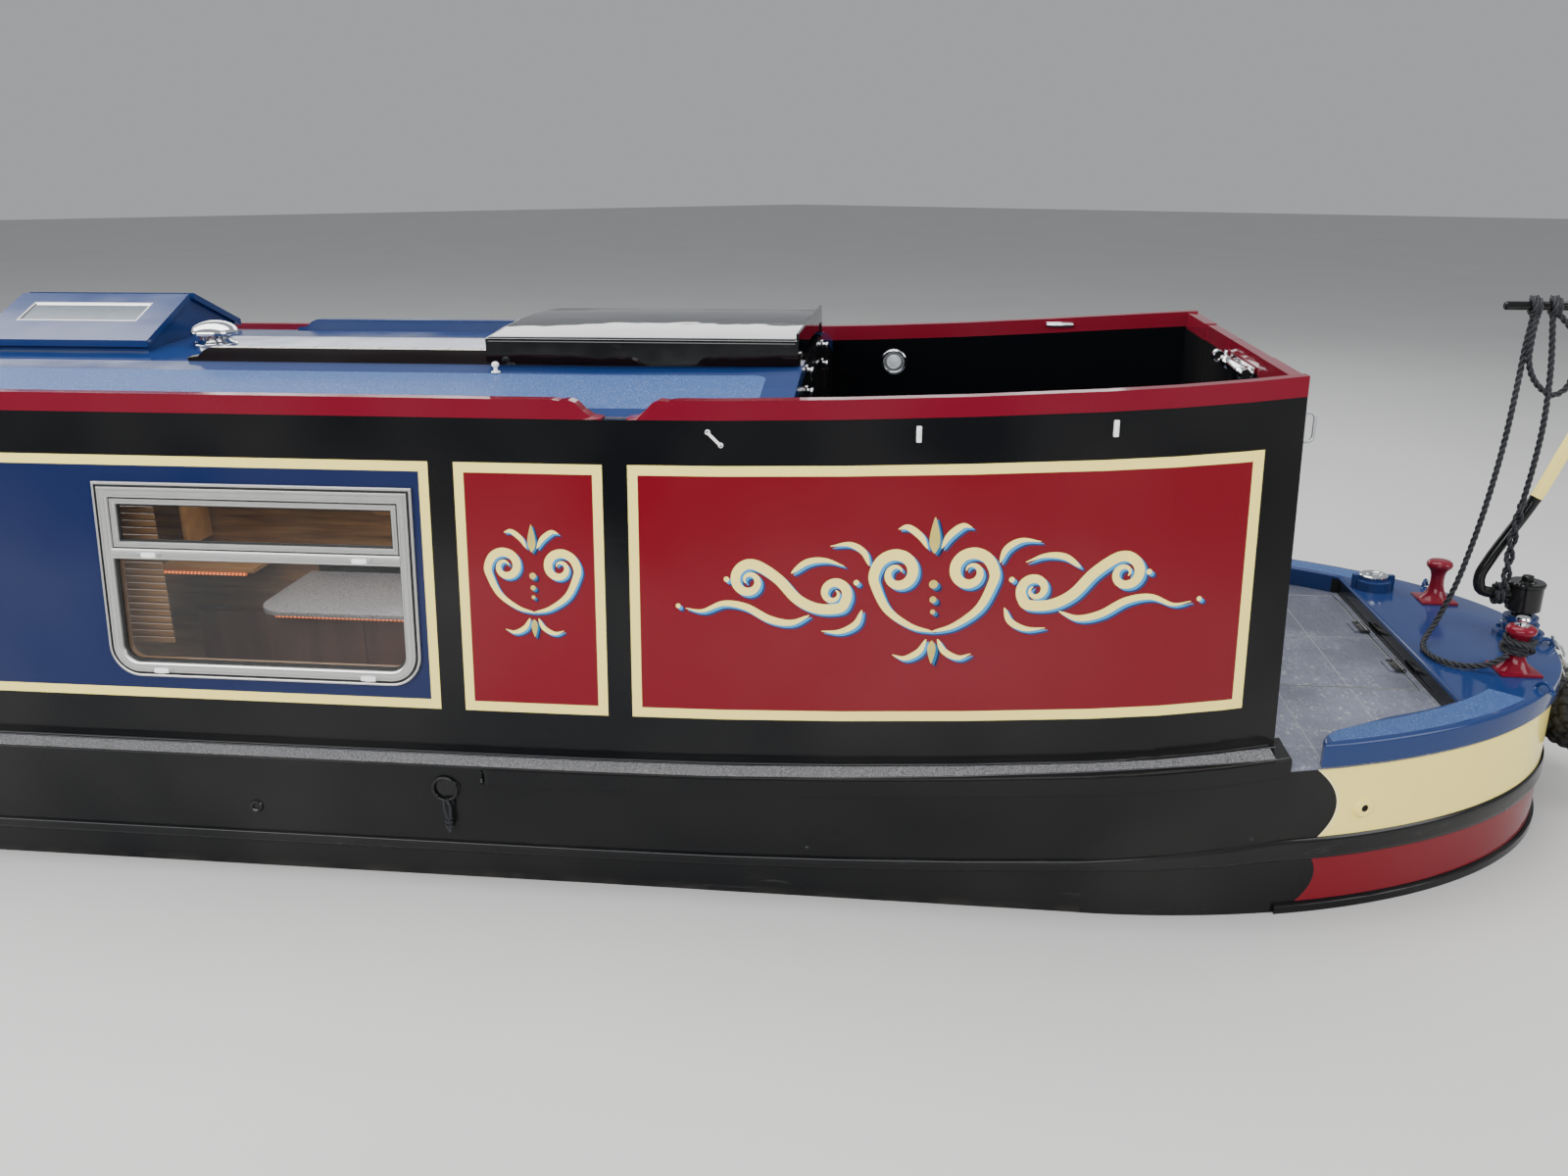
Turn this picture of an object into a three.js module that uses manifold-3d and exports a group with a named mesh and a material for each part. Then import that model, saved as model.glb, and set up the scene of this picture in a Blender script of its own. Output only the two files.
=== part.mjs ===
// A steel narrowboat of 57 ft with a semi-enclosed steering well.
// Millimetres. X runs aft, Y to starboard, Z up from the underside of the base plate.
import * as THREE from 'three';
import { mergeVertices } from 'three/addons/utils/BufferGeometryUtils.js';
import Module from 'manifold-3d';

const wasm = await Module();
wasm.setup();

// Driving dimensions.
const seat = 0.3; // gap between pieces that rest on each other
const clear = 5; // gap round a leaf or lid that moves

const hull = {
  half: 1030, // half the beam at the gunwale, without guards
  tumble: 40, // how much narrower each side is at the base plate
  gunwale: 1120,
  base: 12,
  skin: 50, // plating with its lining
  flange: 135, // width of the gunwale
  plate: 12,
  bowFrom: -6300,
  bowTop: 2390, // from there to the stem at the gunwale
  bowFoot: 1850, // and at the base plate
  bowRise: 400,
  stemHalf: 22,
  sternFrom: 7050,
  sternLong: 1600,
  sheerSteps: [5600, 6000, 6350, 6700, 7050, 7240, 7420, 7600], // the sheer is straight between these
  sheerRise: 115,
  counter: 727, // underside of the counter
  swimFrom: 6000,
  swimTo: 7700,
  swimEnd: 40,
  counterFrom: 7600,
};

// The strake along the gunwale stands out less amidships, between its two ends.
const guard = {
  out: 11, topDeep: 50, plain: 3, strakeAft: 5300, strakeFore: -5600,
  drop: 268, deep: 36, sternDeep: 68, footDeep: 45, sheerRise: 95,
};

const cabin = {
  front: -5950,
  rear: 6190,
  aft: 7575,
  inset: 92, // from the hull's side to the foot of the cabin's side
  lean: 101.5, // inwards over leanHigh
  leanHigh: 1040,
  wall: 40,
  eaves: 2123,
  crown: 110,
  sheerRise: 85,
  railTop: 2178,
  railWide: 46,
  floor: 160,
  well: 1112, // top of the steering well's floor
};

const sternDeck = { top: 1205, cappingTop: 1275, armWide: 120, armFrom: 7682, step: 8170 };

const windowForm = { wide: 986, low: 1325, high: 1920, corner: 95, border: 42, glass: 8 };
const windowFrom = [-4285, -485, 4115]; // forward edge of each window, on both sides

// The rudder's stock and the propeller's shaft.
const rudder = { x: 8580, radius: 25, top: 1362.7, low: 95, high: 690, fore: 8370, aft: 8860, thick: 16 };
const propeller = { x: 7855, z: 380, radius: 225, shaft: 19, hub: 40, blades: 3 };

// Paint and metal.
const paint = {
  black: [0x08090b, 0.15, 0.0],
  hullBlack: [0x0d0e10, 0.35, 0.0],
  blue: [0x0a2a6b, 0.15, 0.0],
  red: [0x7a0d18, 0.18, 0.0],
  cream: [0xe6dcae, 0.3, 0.0],
  deck: [0x4c4c56, 0.7, 0.0],
  wood: [0x9a6a35, 0.5, 0.0],
  chrome: [0xd8dadc, 0.08, 1.0],
  aluminium: [0xb9bbbd, 0.35, 0.9],
  bronze: [0x9a6b2f, 0.35, 0.9],
  rope: [0x121214, 0.9, 0.0],
  engine: [0x2e5d46, 0.5, 0.2],
};

const boat = new THREE.Group();

// Small tools for solids.
const lerp = THREE.MathUtils.lerp;
const clamp = THREE.MathUtils.clamp;
const clamp01 = (v) => clamp(v, 0, 1);
const smooth = (t) => t * t * (3 - 2 * t);

function solidOf(geometry) {
  const bare = new THREE.BufferGeometry();
  bare.setAttribute('position', geometry.getAttribute('position'));
  bare.setIndex(geometry.getIndex());
  const merged = mergeVertices(bare, 1e-3);
  return new wasm.Manifold(new wasm.Mesh({
    numProp: 3,
    vertProperties: new Float32Array(merged.getAttribute('position').array),
    triVerts: new Uint32Array(merged.getIndex().array),
  }));
}

function geometryOf(solid) {
  const mesh = solid.getMesh();
  const geometry = new THREE.BufferGeometry();
  geometry.setAttribute('position', new THREE.BufferAttribute(mesh.vertProperties, 3));
  geometry.setIndex(new THREE.BufferAttribute(mesh.triVerts, 1));
  geometry.computeVertexNormals();
  return geometry;
}

function add(name, solid, finish) {
  const [color, roughness, metalness] = paint[finish];
  const material = new THREE.MeshStandardMaterial({ color, roughness, metalness });
  const mesh = new THREE.Mesh(geometryOf(solid), material);
  mesh.name = name;
  boat.add(mesh);
}

function join(...solids) {
  return solids.reduce((a, b) => a.add(b));
}

function cut(solid, ...tools) {
  return tools.reduce((a, b) => a.subtract(b), solid);
}

function box(x0, x1, y0, y1, z0, z1) {
  const geometry = new THREE.BoxGeometry(x1 - x0, y1 - y0, z1 - z0);
  return solidOf(geometry.translate((x0 + x1) / 2, (y0 + y1) / 2, (z0 + z1) / 2));
}

// A cylinder or cone from one point to another.
function rod(from, to, radius, facets = 20, endRadius = radius) {
  const a = new THREE.Vector3(...from);
  const along = new THREE.Vector3(...to).sub(a);
  const geometry = new THREE.CylinderGeometry(endRadius, radius, along.length(), facets);
  geometry.translate(0, along.length() / 2, 0);
  const turn = new THREE.Quaternion().setFromUnitVectors(new THREE.Vector3(0, 1, 0), along.normalize());
  return solidOf(geometry.applyQuaternion(turn).translate(a.x, a.y, a.z));
}

// A profile of [radius, height] pairs turned round a vertical axis at x, y.
function turned(profile, x, y, facets = 24) {
  const points = profile.map(([radius, z]) => new THREE.Vector2(radius, z));
  const geometry = new THREE.LatheGeometry(points, facets);
  return solidOf(geometry.rotateX(Math.PI / 2).translate(x, y, 0));
}

// An outline of [x, y] pairs, from z0 up to z1.
function plan(outline, z0, z1) {
  const shape = new THREE.Shape(outline.map(([x, y]) => new THREE.Vector2(x, y)));
  const geometry = new THREE.ExtrudeGeometry(shape, { depth: z1 - z0, bevelEnabled: false });
  return solidOf(geometry.translate(0, 0, z0));
}

// An outline of [x, z] pairs, from y0 across to y1.
function elevation(outline, y0, y1) {
  const shape = new THREE.Shape(outline.map(([x, z]) => new THREE.Vector2(x, z)));
  const geometry = new THREE.ExtrudeGeometry(shape, { depth: y1 - y0, bevelEnabled: false });
  return solidOf(geometry.rotateX(Math.PI / 2).translate(0, y1, 0));
}

// An outline of [y, z] pairs, from x0 aft to x1.
function section(outline, x0, x1) {
  const ring = (x) => outline.map(([y, z]) => [x, y, z]);
  return loft([ring(x0), ring(x1)]);
}

// A skin over rings of [x, y, z] points, with flat ends. Ends are split up in the plane across `along`.
function loft(rings, along = 0) {
  const count = rings[0].length;
  const position = rings.flat(2);
  const index = [];
  for (let r = 0; r < rings.length - 1; r += 1) {
    for (let i = 0; i < count; i += 1) {
      const a = r * count + i;
      const b = r * count + ((i + 1) % count);
      index.push(a, b, b + count, a, b + count, a + count);
    }
  }
  const [u, v] = [(along + 1) % 3, (along + 2) % 3];
  for (const [r, forwards] of [[0, false], [rings.length - 1, true]]) {
    const flat = rings[r].map((p) => new THREE.Vector2(p[u], p[v]));
    const facing = THREE.ShapeUtils.isClockWise(flat) ? -1 : 1;
    for (const [a, b, c] of THREE.ShapeUtils.triangulateShape(flat, [])) {
      const turn = THREE.ShapeUtils.isClockWise([flat[a], flat[b], flat[c]]) ? -1 : 1;
      const same = (turn === facing) === forwards;
      index.push(...[a, same ? b : c, same ? c : b].map((k) => k + r * count));
    }
  }
  let volume = 0;
  const corner = (k) => new THREE.Vector3().fromArray(position, 3 * k);
  for (let t = 0; t < index.length; t += 3) {
    volume += corner(index[t]).dot(corner(index[t + 1]).cross(corner(index[t + 2])));
  }
  const geometry = new THREE.BufferGeometry();
  geometry.setAttribute('position', new THREE.Float32BufferAttribute(position, 3));
  geometry.setIndex(volume < 0 ? index.reverse() : index);
  return solidOf(geometry);
}

// A round bar along a curve through the given points.
function bar(points, radius, facets, steps) {
  const round = new THREE.Shape();
  round.absarc(0, 0, radius, 0, 2 * Math.PI);
  const path = new THREE.CatmullRomCurve3(points.map((p) => new THREE.Vector3(...p)), false, 'centripetal');
  const settings = { steps, extrudePath: path, curveSegments: facets / 2, bevelEnabled: false };
  return solidOf(new THREE.ExtrudeGeometry(round, settings));
}

const mirrored = (ring, side) => ring.map(([x, y, z]) => [x, y * side, z]);
const sides = [['port', -1], ['starboard', 1]];

// The hull's form. Rise is the sheer of the gunwale above its midship height, or of another line with its
// own rise at the stern.
function rise(x, aftRise = hull.sheerRise) {
  const steps = hull.sheerSteps;
  const last = steps.length - 1;
  const fore = clamp01((hull.bowFrom - x) / hull.bowTop);
  const up = (at) => aftRise * ((at - steps[0]) / (steps[last] - steps[0])) ** 2;
  const i = clamp(steps.findIndex((step) => step >= x), 1, last);
  const share = clamp01((x - steps[i - 1]) / (steps[i] - steps[i - 1]));
  const aft = x <= steps[0] ? 0 : lerp(up(steps[i - 1]), up(steps[i]), share);
  return (x > steps[last] ? aftRise : aft) + hull.bowRise * fore ** 1.9;
}

// The sheer of the cabin's eaves and rails.
const lift = (x) => rise(x, cabin.sheerRise);

function halfAt(x) {
  if (x > hull.sternFrom) {
    return hull.half * Math.sqrt(Math.max(0, 1 - ((x - hull.sternFrom) / hull.sternLong) ** 2));
  }
  const t = clamp01((hull.bowFrom - x) / hull.bowTop);
  return lerp(hull.stemHalf + seat, hull.half, 1 - t ** 2.1);
}

// A station is named by its x at the gunwale. Forward of the bow's start its plane rakes with the stem.
function station(x) {
  const t = clamp01((hull.bowFrom - x) / hull.bowTop);
  const full = 0.5 * (1 - t ** 1.8) + 0.5 * (1 - smooth(t));
  const upright = clamp01((x - hull.sheerSteps[0]) / (hull.counterFrom - hull.sheerSteps[0]));
  const narrow = hull.tumble * (1 - upright);
  return {
    top: { x, y: halfAt(x), z: hull.gunwale + rise(x) },
    foot: {
      x: t > 0 ? hull.bowFrom - hull.bowFoot * t : x,
      y: t > 0 ? lerp(hull.stemHalf + seat, hull.half - hull.tumble, full) : halfAt(x) - narrow,
      z: hull.base + seat,
    },
  };
}

function onSkin(at, z, inwards = 0) {
  const k = (z - at.foot.z) / (at.top.z - at.foot.z);
  return [lerp(at.foot.x, at.top.x, k), lerp(at.foot.y, at.top.y, k) - inwards, z];
}

const bowSteps = [1, 0.97, 0.93, 0.87, 0.8, 0.72, 0.63, 0.53, 0.42, 0.31, 0.2, 0.1, 0];
const bowStations = bowSteps.map((t) => hull.bowFrom - hull.bowTop * t);
const aftStations = hull.sheerSteps;
const strakeEnds = [guard.strakeFore - 20, guard.strakeFore, guard.strakeAft, guard.strakeAft + 20];

// Half-breadths of the stern's curve, from an x forward to the stern's end.
function sternCurve(from, outwards = 0, steps = 12) {
  const start = Math.asin(clamp01((from - hull.sternFrom) / hull.sternLong));
  return Array.from({ length: steps + 1 }, (_, i) => {
    const angle = lerp(start, Math.PI / 2, i / steps);
    return [
      hull.sternFrom + (hull.sternLong + outwards) * Math.sin(angle),
      (hull.half + outwards) * Math.cos(angle),
    ];
  });
}

function sternOutline(from, outwards = 0) {
  const curve = sternCurve(from, outwards);
  const port = curve.map(([x, y]) => [x, -y]);
  return [...port, ...curve.slice(0, -1).reverse()];
}

// The lower and upper edge of the second guard, at a station.
function guardEdges(at) {
  const aft = smooth(clamp01((at.top.x - 7000) / 700));
  const half = lerp(guard.deep, guard.sternDeep, aft) / 2;
  const mid = hull.gunwale + rise(at.top.x, guard.sheerRise) - guard.drop;
  return [mid - half, mid + half];
}

function skinThick(at) {
  return Math.min(hull.skin, 6 + (at.foot.y - hull.stemHalf) * 0.45);
}

function hullSide(side) {
  const rings = [...bowStations, ...strakeEnds, ...aftStations].map((x) => {
    const at = station(x);
    const out = x < guard.strakeFore || x > guard.strakeAft ? guard.out : guard.plain;
    const skin = skinThick(at);
    const flange = skin + 4 + Math.min(hull.flange - hull.skin - 4, (at.top.y - hull.stemHalf) * 0.6);
    const top = at.top.z;
    const edges = guardEdges(at);
    return mirrored([
      onSkin(at, at.foot.z),
      onSkin(at, lerp(at.foot.z, edges[0], 0.5)),
      ...edges.map((z) => onSkin(at, z)),
      onSkin(at, top - guard.topDeep),
      onSkin(at, top - guard.topDeep, -out),
      onSkin(at, top, -out),
      onSkin(at, top, flange),
      onSkin(at, top - hull.plate, flange),
      onSkin(at, top - hull.plate, skin),
      onSkin(at, at.foot.z, skin),
    ], side);
  });
  const under = box(hull.swimFrom, hull.counterFrom + 100, -1200, 1200, -10, hull.counter + seat);
  return cut(loft(rings), under);
}

function swimHalf(x, z) {
  const t = clamp01((x - hull.swimFrom) / (hull.swimTo - hull.swimFrom));
  const side = hull.half - hull.tumble * (1 - z / hull.gunwale);
  return lerp(hull.swimEnd, side, 1 - smooth(t));
}

const swimStations = [0, 0.12, 0.25, 0.38, 0.5, 0.62, 0.75, 0.88, 1].map(
  (t) => lerp(hull.swimFrom + seat, hull.swimTo, t));
const swimThick = 30;
const uxterThick = 15;

function swim(side) {
  const low = hull.base + seat;
  const high = hull.counter - uxterThick - seat;
  return loft(swimStations.map((x) => mirrored([
    [x, swimHalf(x, low), low],
    [x, swimHalf(x, high), high],
    [x, swimHalf(x, high) - swimThick, high],
    [x, swimHalf(x, low) - swimThick, low],
  ], side)));
}

function basePlate() {
  const lip = 10;
  const bow = bowStations.map((x) => station(x).foot).map(({ x, y }) => [x, y + lip]);
  const run = swimStations.map((x) => [x, swimHalf(x, 0) + lip]);
  const half = [...bow, ...run];
  const other = half.map(([x, y]) => [x, -y]).reverse();
  return plan([...half, ...other], 0, hull.base);
}

function uxterPlate() {
  const outline = sternOutline(hull.sternFrom);
  outline.push([hull.swimFrom + seat, hull.half], [hull.swimFrom + seat, -hull.half]);
  const inside = swimStations.slice(0, -1).map((x) => [x, swimHalf(x, hull.counter) - swimThick]);
  inside[0][0] -= 10;
  const slot = [...inside, ...inside.map(([x, y]) => [x, -y]).reverse()];
  const whole = plan(outline, hull.counter - uxterThick, hull.counter);
  const through = [hull.counter - 50, hull.counter + 50];
  return cut(whole, plan(slot, ...through), stockBore(...through));
}

function stockBore(z0, z1) {
  return rod([rudder.x, 0, z0], [rudder.x, 0, z1], rudder.radius + clear + 2);
}

// The hinged board in the stern deck, and the recess below it.
const board = { x0: 7650, x1: 8146, y0: -360, y1: 560, ledge: 30, hinges: [200, -170], recess: 950 };

function counterStern() {
  const top = sternDeck.top - hull.plate - seat;
  const front = hull.counterFrom + seat;
  const block = plan(sternOutline(front), hull.counter + seat, top);
  const ring = plan(sternOutline(front, guard.out), hull.counter + seat, hull.counter + guard.footDeep);
  const ahead = box(7000, front, -1300, 1300, 0, 1400);
  const pit = box(board.x0 + board.ledge, board.x1 - board.ledge, board.y0 + board.ledge,
    board.y1 - board.ledge, board.recess, 1300);
  return cut(join(block, ring), ahead, pit, stockBore(0, 1400));
}

function deckPlate() {
  const slab = plan(sternOutline(hull.counterFrom + seat), sternDeck.top - hull.plate, sternDeck.top);
  const hole = box(board.x0 - clear, board.x1 + clear, board.y0 - clear, board.y1 + clear, 0, 2000);
  return cut(slab, hole, stockBore(0, 2000));
}

// The board, with a knuckle of each hinge on its after edge.
function deckBoard() {
  const { x0, x1, y0, y1, hinges: places } = board;
  const top = sternDeck.top;
  const slab = box(x0, x1, y0, y1, top - hull.plate, top);
  const knuckles = places.flatMap((y) => [
    rod([x1 + 4, y - 48, top + 6], [x1 + 4, y + 48, top + 6], 6, 12),
    box(x1 - 40, x1 + 4, y - 44, y + 44, top - 2, top + 5),
  ]);
  return join(slab, ...knuckles);
}

// The raised capping: two round-tipped arms along the edge, and the deck aft of the step.
function sternCapping() {
  const { armFrom, armWide, step, top, cappingTop } = sternDeck;
  const outer = plan(sternOutline(armFrom, guard.out), top + seat, cappingTop);
  const tip = { long: 168, wide: 150, y: 955 };
  const round = [0, 0.25, 0.5, 0.75, 1].map((t) => [
    armFrom + tip.long * (1 - Math.cos((t * Math.PI) / 2)),
    tip.y - tip.wide * Math.sin((t * Math.PI) / 2),
  ]);
  const tipEnd = armFrom + tip.long + 30;
  const along = sternCurve(armFrom, -armWide, 16).filter(([x]) => x > tipEnd && x < step);
  const [before, last] = along.slice(-2);
  const slope = (last[1] - before[1]) / (last[0] - before[0]);
  const inner = [[armFrom - 200, tip.y], ...round, ...along, [step, last[1] + slope * (step - last[0])]];
  const well = [...inner, ...inner.map(([x, y]) => [x, -y]).reverse()];
  const eyes = lineEyes.flatMap(([x, y, turn]) => [eye(x, y, turn), eye(x, -y, -turn)]);
  return join(cut(outer, plan(well, 1000, 1400), stockBore(0, 2000)), ...eyes);
}

// Eyes for fender chains and lines: [x, y, heading in degrees], each with its twin on the other side.
const lineEyes = [[8622, 104, 0], [8452, 500, 55]];
const eyeForm = { reach: 24, wire: 6 };

function eye(x, y, heading) {
  const { reach, wire } = eyeForm;
  const turn = THREE.MathUtils.degToRad(heading);
  const z = sternDeck.cappingTop - wire;
  const points = [0, 30, 60, 90, 120, 150, 180].map((degrees) => {
    const angle = THREE.MathUtils.degToRad(degrees);
    const along = reach * Math.cos(angle);
    return [x + along * Math.cos(turn), y + along * Math.sin(turn), z + wire + reach * Math.sin(angle)];
  });
  const legs = [points[0], points[points.length - 1]].map(([px, py]) => [px, py, z]);
  return bar([legs[0], ...points, legs[1]], wire, 8, 16);
}

// The guard that runs along both sides and round the stern.
function secondGuard() {
  const stern = sternCurve(hull.counterFrom).slice(1).map(([x]) => x);
  const xs = [...bowStations.slice(1), ...strakeEnds, ...aftStations, ...stern];
  const port = xs.map((x) => {
    const at = station(x);
    return guardEdges(at).map((z) => onSkin(at, z)).map(([px, py, pz]) => [px, -py, pz]);
  });
  const rows = [...port, ...port.slice(0, -1).reverse().map((row) => mirrored(row, -1))];
  const rings = rows.map((row, i) => {
    const before = rows[Math.max(0, i - 1)][0];
    const after = rows[Math.min(rows.length - 1, i + 1)][0];
    const run = new THREE.Vector2(after[0] - before[0], after[1] - before[1]).normalize();
    const out = [run.y, -run.x];
    const [low, high] = row;
    const moved = (p, by) => [p[0] + out[0] * by, p[1] + out[1] * by, p[2]];
    return [moved(low, 2 * seat), moved(low, guard.out), moved(high, guard.out), moved(high, 2 * seat)];
  });
  return loft(rings, 0);
}

// Cabin walls.
function cabinOuter(x, z) {
  const datum = hull.gunwale + lift(x);
  return halfAt(x) - cabin.inset - cabin.lean * ((z - datum) / cabin.leanHigh);
}

const cabinInner = (x, z) => cabinOuter(x, z) - cabin.wall;

function windowOutline(from, grow = 0) {
  const { wide, low, high, corner } = windowForm;
  const [x0, x1, z0, z1] = [from - grow, from + wide + grow, low - grow, high + grow];
  const arc = (cx, start) => [0, 1, 2, 3, 4].map((i) => {
    const angle = start + (i * Math.PI) / 8;
    return [cx + (corner + grow) * Math.cos(angle), z0 + corner + grow + (corner + grow) * Math.sin(angle)];
  });
  return [...arc(x0 + corner + grow, Math.PI), ...arc(x1 - corner - grow, 1.5 * Math.PI), [x1, z1], [x0, z1]];
}

function cabinSide(side) {
  const xs = [cabin.front, ...aftStations.slice(0, -1), cabin.aft];
  const wall = loft(xs.map((x) => {
    const z0 = hull.gunwale + rise(x) + seat;
    const z1 = cabin.eaves + lift(x);
    return mirrored([
      [x, cabinOuter(x, z0), z0],
      [x, cabinOuter(x, z1), z1],
      [x, cabinInner(x, z1), z1],
      [x, cabinInner(x, z0), z0],
    ], side);
  }));
  const [y0, y1] = side < 0 ? [-1000, -700] : [700, 1000];
  return cut(wall, ...windowFrom.map((x) => elevation(windowOutline(x, -14), y0, y1)));
}

// A window: a frame that laps the wall, its sleeve through the wall, the pane and the bar under the hopper.
function windowUnit(from, side) {
  const { low, high, border, glass } = windowForm;
  const at = (z) => cabinOuter(0, z);
  const lap = { out: 12, in: seat };
  const layer = (outline, near, far) => {
    const shape = new THREE.Shape(outline.map(([x, z]) => new THREE.Vector2(x, z)));
    const flat = new THREE.ExtrudeGeometry(shape, { depth: near - far, bevelEnabled: false });
    const position = flat.getAttribute('position');
    for (let i = 0; i < position.count; i += 1) {
      const [x, z, d] = [position.getX(i), position.getY(i), position.getZ(i)];
      position.setXYZ(i, x, side * (at(z) + far + d), z);
    }
    const geometry = new THREE.BufferGeometry();
    geometry.setAttribute('position', position);
    const merged = mergeVertices(geometry, 1e-3);
    if (side > 0) merged.setIndex([...merged.getIndex().array].reverse());
    return solidOf(merged);
  };
  const flange = layer(windowOutline(from), lap.out, lap.in);
  const sleeve = layer(windowOutline(from, -14 - seat), lap.out, -cabin.wall);
  const hollow = layer(windowOutline(from, -border), 60, -cabin.wall - 60);
  const pane = layer(windowOutline(from, -border + 5), -6, -6 - glass);
  const rail = lerp(high, low, 0.36);
  const bars = layer([[from + 20, rail - 16], [from + windowForm.wide - 20, rail - 16],
    [from + windowForm.wide - 20, rail + 16], [from + 20, rail + 16]], 10, -20);
  return join(cut(join(flange, sleeve), hollow), pane, bars);
}

// Half the roof's width, between the cabin's sides.
const roofHalfAt = (x) => cabinInner(x, cabin.eaves + lift(x)) - seat;
// The crown's facets, as shares of that half.
const roofSteps = [-1, -0.75, -0.5, -0.25, 0, 0.25, 0.5, 0.75, 1];
const crownAt = (s) => cabin.crown * (1 - s ** 2);

// Height of the roof's facets.
function roofHeight(x, y) {
  const s = clamp(y / roofHalfAt(x), -1, 1);
  const i = clamp(roofSteps.findIndex((step) => step >= s), 1, roofSteps.length - 1);
  const [a, b] = [roofSteps[i - 1], roofSteps[i]];
  return cabin.eaves + lift(x) + lerp(crownAt(a), crownAt(b), (s - a) / (b - a));
}

const hatch = {
  x0: 5200, x1: 6178, half: 424, skirt: 19, opening: 336, openFrom: 5260, low: 2218, edge: 2290, crown: 18,
  wall: 26, lip: 20,
};
const runner = { x0: 4195, y0: 355, y1: 400, top: 2250 };
const pigeon = {
  x0: 3395, x1: 3987, half: 280, eaves: 2243, ridge: 2363, wall: 30, lid: 22, opening: 200,
};

function roofSlab(raised) {
  return loft([cabin.front, 5600, 6000, cabin.rear].map((x) => {
    const high = roofSteps.map((s) => [x, s * roofHalfAt(x), cabin.eaves + lift(x) + crownAt(s) + raised]);
    const low = high.map(([px, y, z]) => [px, y, z - cabin.wall - raised]).reverse();
    return [...high, ...low];
  }));
}

function roof() {
  const slab = roofSlab(0);
  const hatchWay = box(hatch.openFrom, cabin.rear + 50, -hatch.opening, hatch.opening, 2000, 2400);
  const light = box(pigeon.x0 + 60, pigeon.x1 - 60, -pigeon.opening, pigeon.opening, 2000, 2400);
  return cut(slab, hatchWay, light);
}

// A cross wall under the roof, with a doorway open up to `doorTop`.
function bulkhead(x0, x1, door) {
  const x = (x0 + x1) / 2;
  const half = Math.min(roofHalfAt(x0), roofHalfAt(x1));
  const lifted = Math.min(lift(x0), lift(x1));
  const foot = hull.gunwale + rise(x);
  const below = x1 > hull.swimFrom ? swimHalf(x1, 0) - swimThick - 2 : station(x).foot.y - hull.skin - 1;
  const ledge = hull.counter + 2;
  const beside = onSkin(station(x), ledge, hull.skin + 1)[1];
  const arch = [1, 0.75, 0.5, 0.25, 0].map((s) => [
    s * half,
    cabin.eaves - cabin.wall - seat + lifted + cabin.crown * (1 - s ** 2),
  ]);
  const right = [
    [below, cabin.floor + seat],
    [below, ledge],
    [beside, ledge],
    [beside, foot - hull.plate - 4],
    [halfAt(x) - hull.flange - 1, foot - hull.plate - 4],
    [halfAt(x) - hull.flange - 1, foot + 3],
    [cabinInner(x, cabin.eaves - cabin.wall - seat) - 1, cabin.eaves - cabin.wall - seat + lifted],
    ...arch,
  ];
  const left = right.slice(0, -1).map(([y, z]) => [-y, z]).reverse();
  const wall = section([...right, ...left], x0, x1);
  return cut(wall, box(x0 - 10, x1 + 10, -door.half, door.half, door.low, door.high));
}

const rearDoor = { half: 330, low: 1150, high: 2300, top: 2216, thick: 34 };
const frontDoor = { half: 300, low: 890, high: 2030, top: 2025, thick: 34 };
const aftDoor = { half: 400, low: 1290, top: 2252, thick: 34 };

// One door leaf. Its outer face is at `face`, and it swings towards `swing` in X.
function leaf(face, swing, side, door) {
  const [near, far] = [face, face - swing * door.thick];
  const [x0, x1] = [Math.min(near, far), Math.max(near, far)];
  const inner = clear / 2;
  const outer = door.half - clear;
  const [y0, y1] = side < 0 ? [-outer, -inner] : [inner, outer];
  const panel = box(x0, x1, y0, y1, door.low + clear, door.top);
  const inset = 70;
  const shallow = 8;
  const [s0, s1] = swing > 0 ? [x1 - shallow, x1 + 10] : [x0 - 10, x0 + shallow];
  const mid = (door.low + door.top) / 2;
  const fields = [[door.low + clear + inset, mid - inset / 2], [mid + inset / 2, door.top - inset]];
  return cut(panel, ...fields.map(([z0, z1]) => box(s0, s1, y0 + inset, y1 - inset, z0, z1)));
}

const pinRadius = 5;

// Two hinges that carry a leaf on its jamb, each a strap on the leaf and a pin.
function hinges(face, swing, side, door) {
  const pinY = side * (door.half - 1);
  const pinX = face + swing * (pinRadius + seat);
  const strapY = side * (door.half - 40);
  const heights = [0.15, 0.85].map((k) => lerp(door.low, door.top, k));
  return heights.flatMap((z) => [
    rod([pinX, pinY, z - 35], [pinX, pinY, z + 35], pinRadius, 12),
    box(Math.min(face - 2 * swing, pinX), Math.max(face - 2 * swing, pinX), Math.min(pinY, strapY),
      Math.max(pinY, strapY), z - 30, z + 30),
  ]);
}

// The wall across the after end of the steering well: a sill between two posts.
function aftBulkhead() {
  const x = cabin.aft;
  const x0 = x - cabin.wall;
  const foot = hull.gunwale + rise(x);
  const top = cabin.eaves + lift(x0) + 52;
  const right = [
    [halfAt(x) - hull.flange - 2, cabin.well + seat],
    [halfAt(x) - hull.flange - 2, foot + 2],
    [cabinInner(x, foot + 2) - 1, foot + 2],
    [cabinInner(x, top) - 1, top],
  ];
  const left = right.map(([y, z]) => [-y, z]).reverse();
  const wall = section([...right, ...left], x0, x);
  return cut(wall, box(x0 - 10, x + 10, -aftDoor.half, aftDoor.half, aftDoor.low, top + 50));
}

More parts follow.
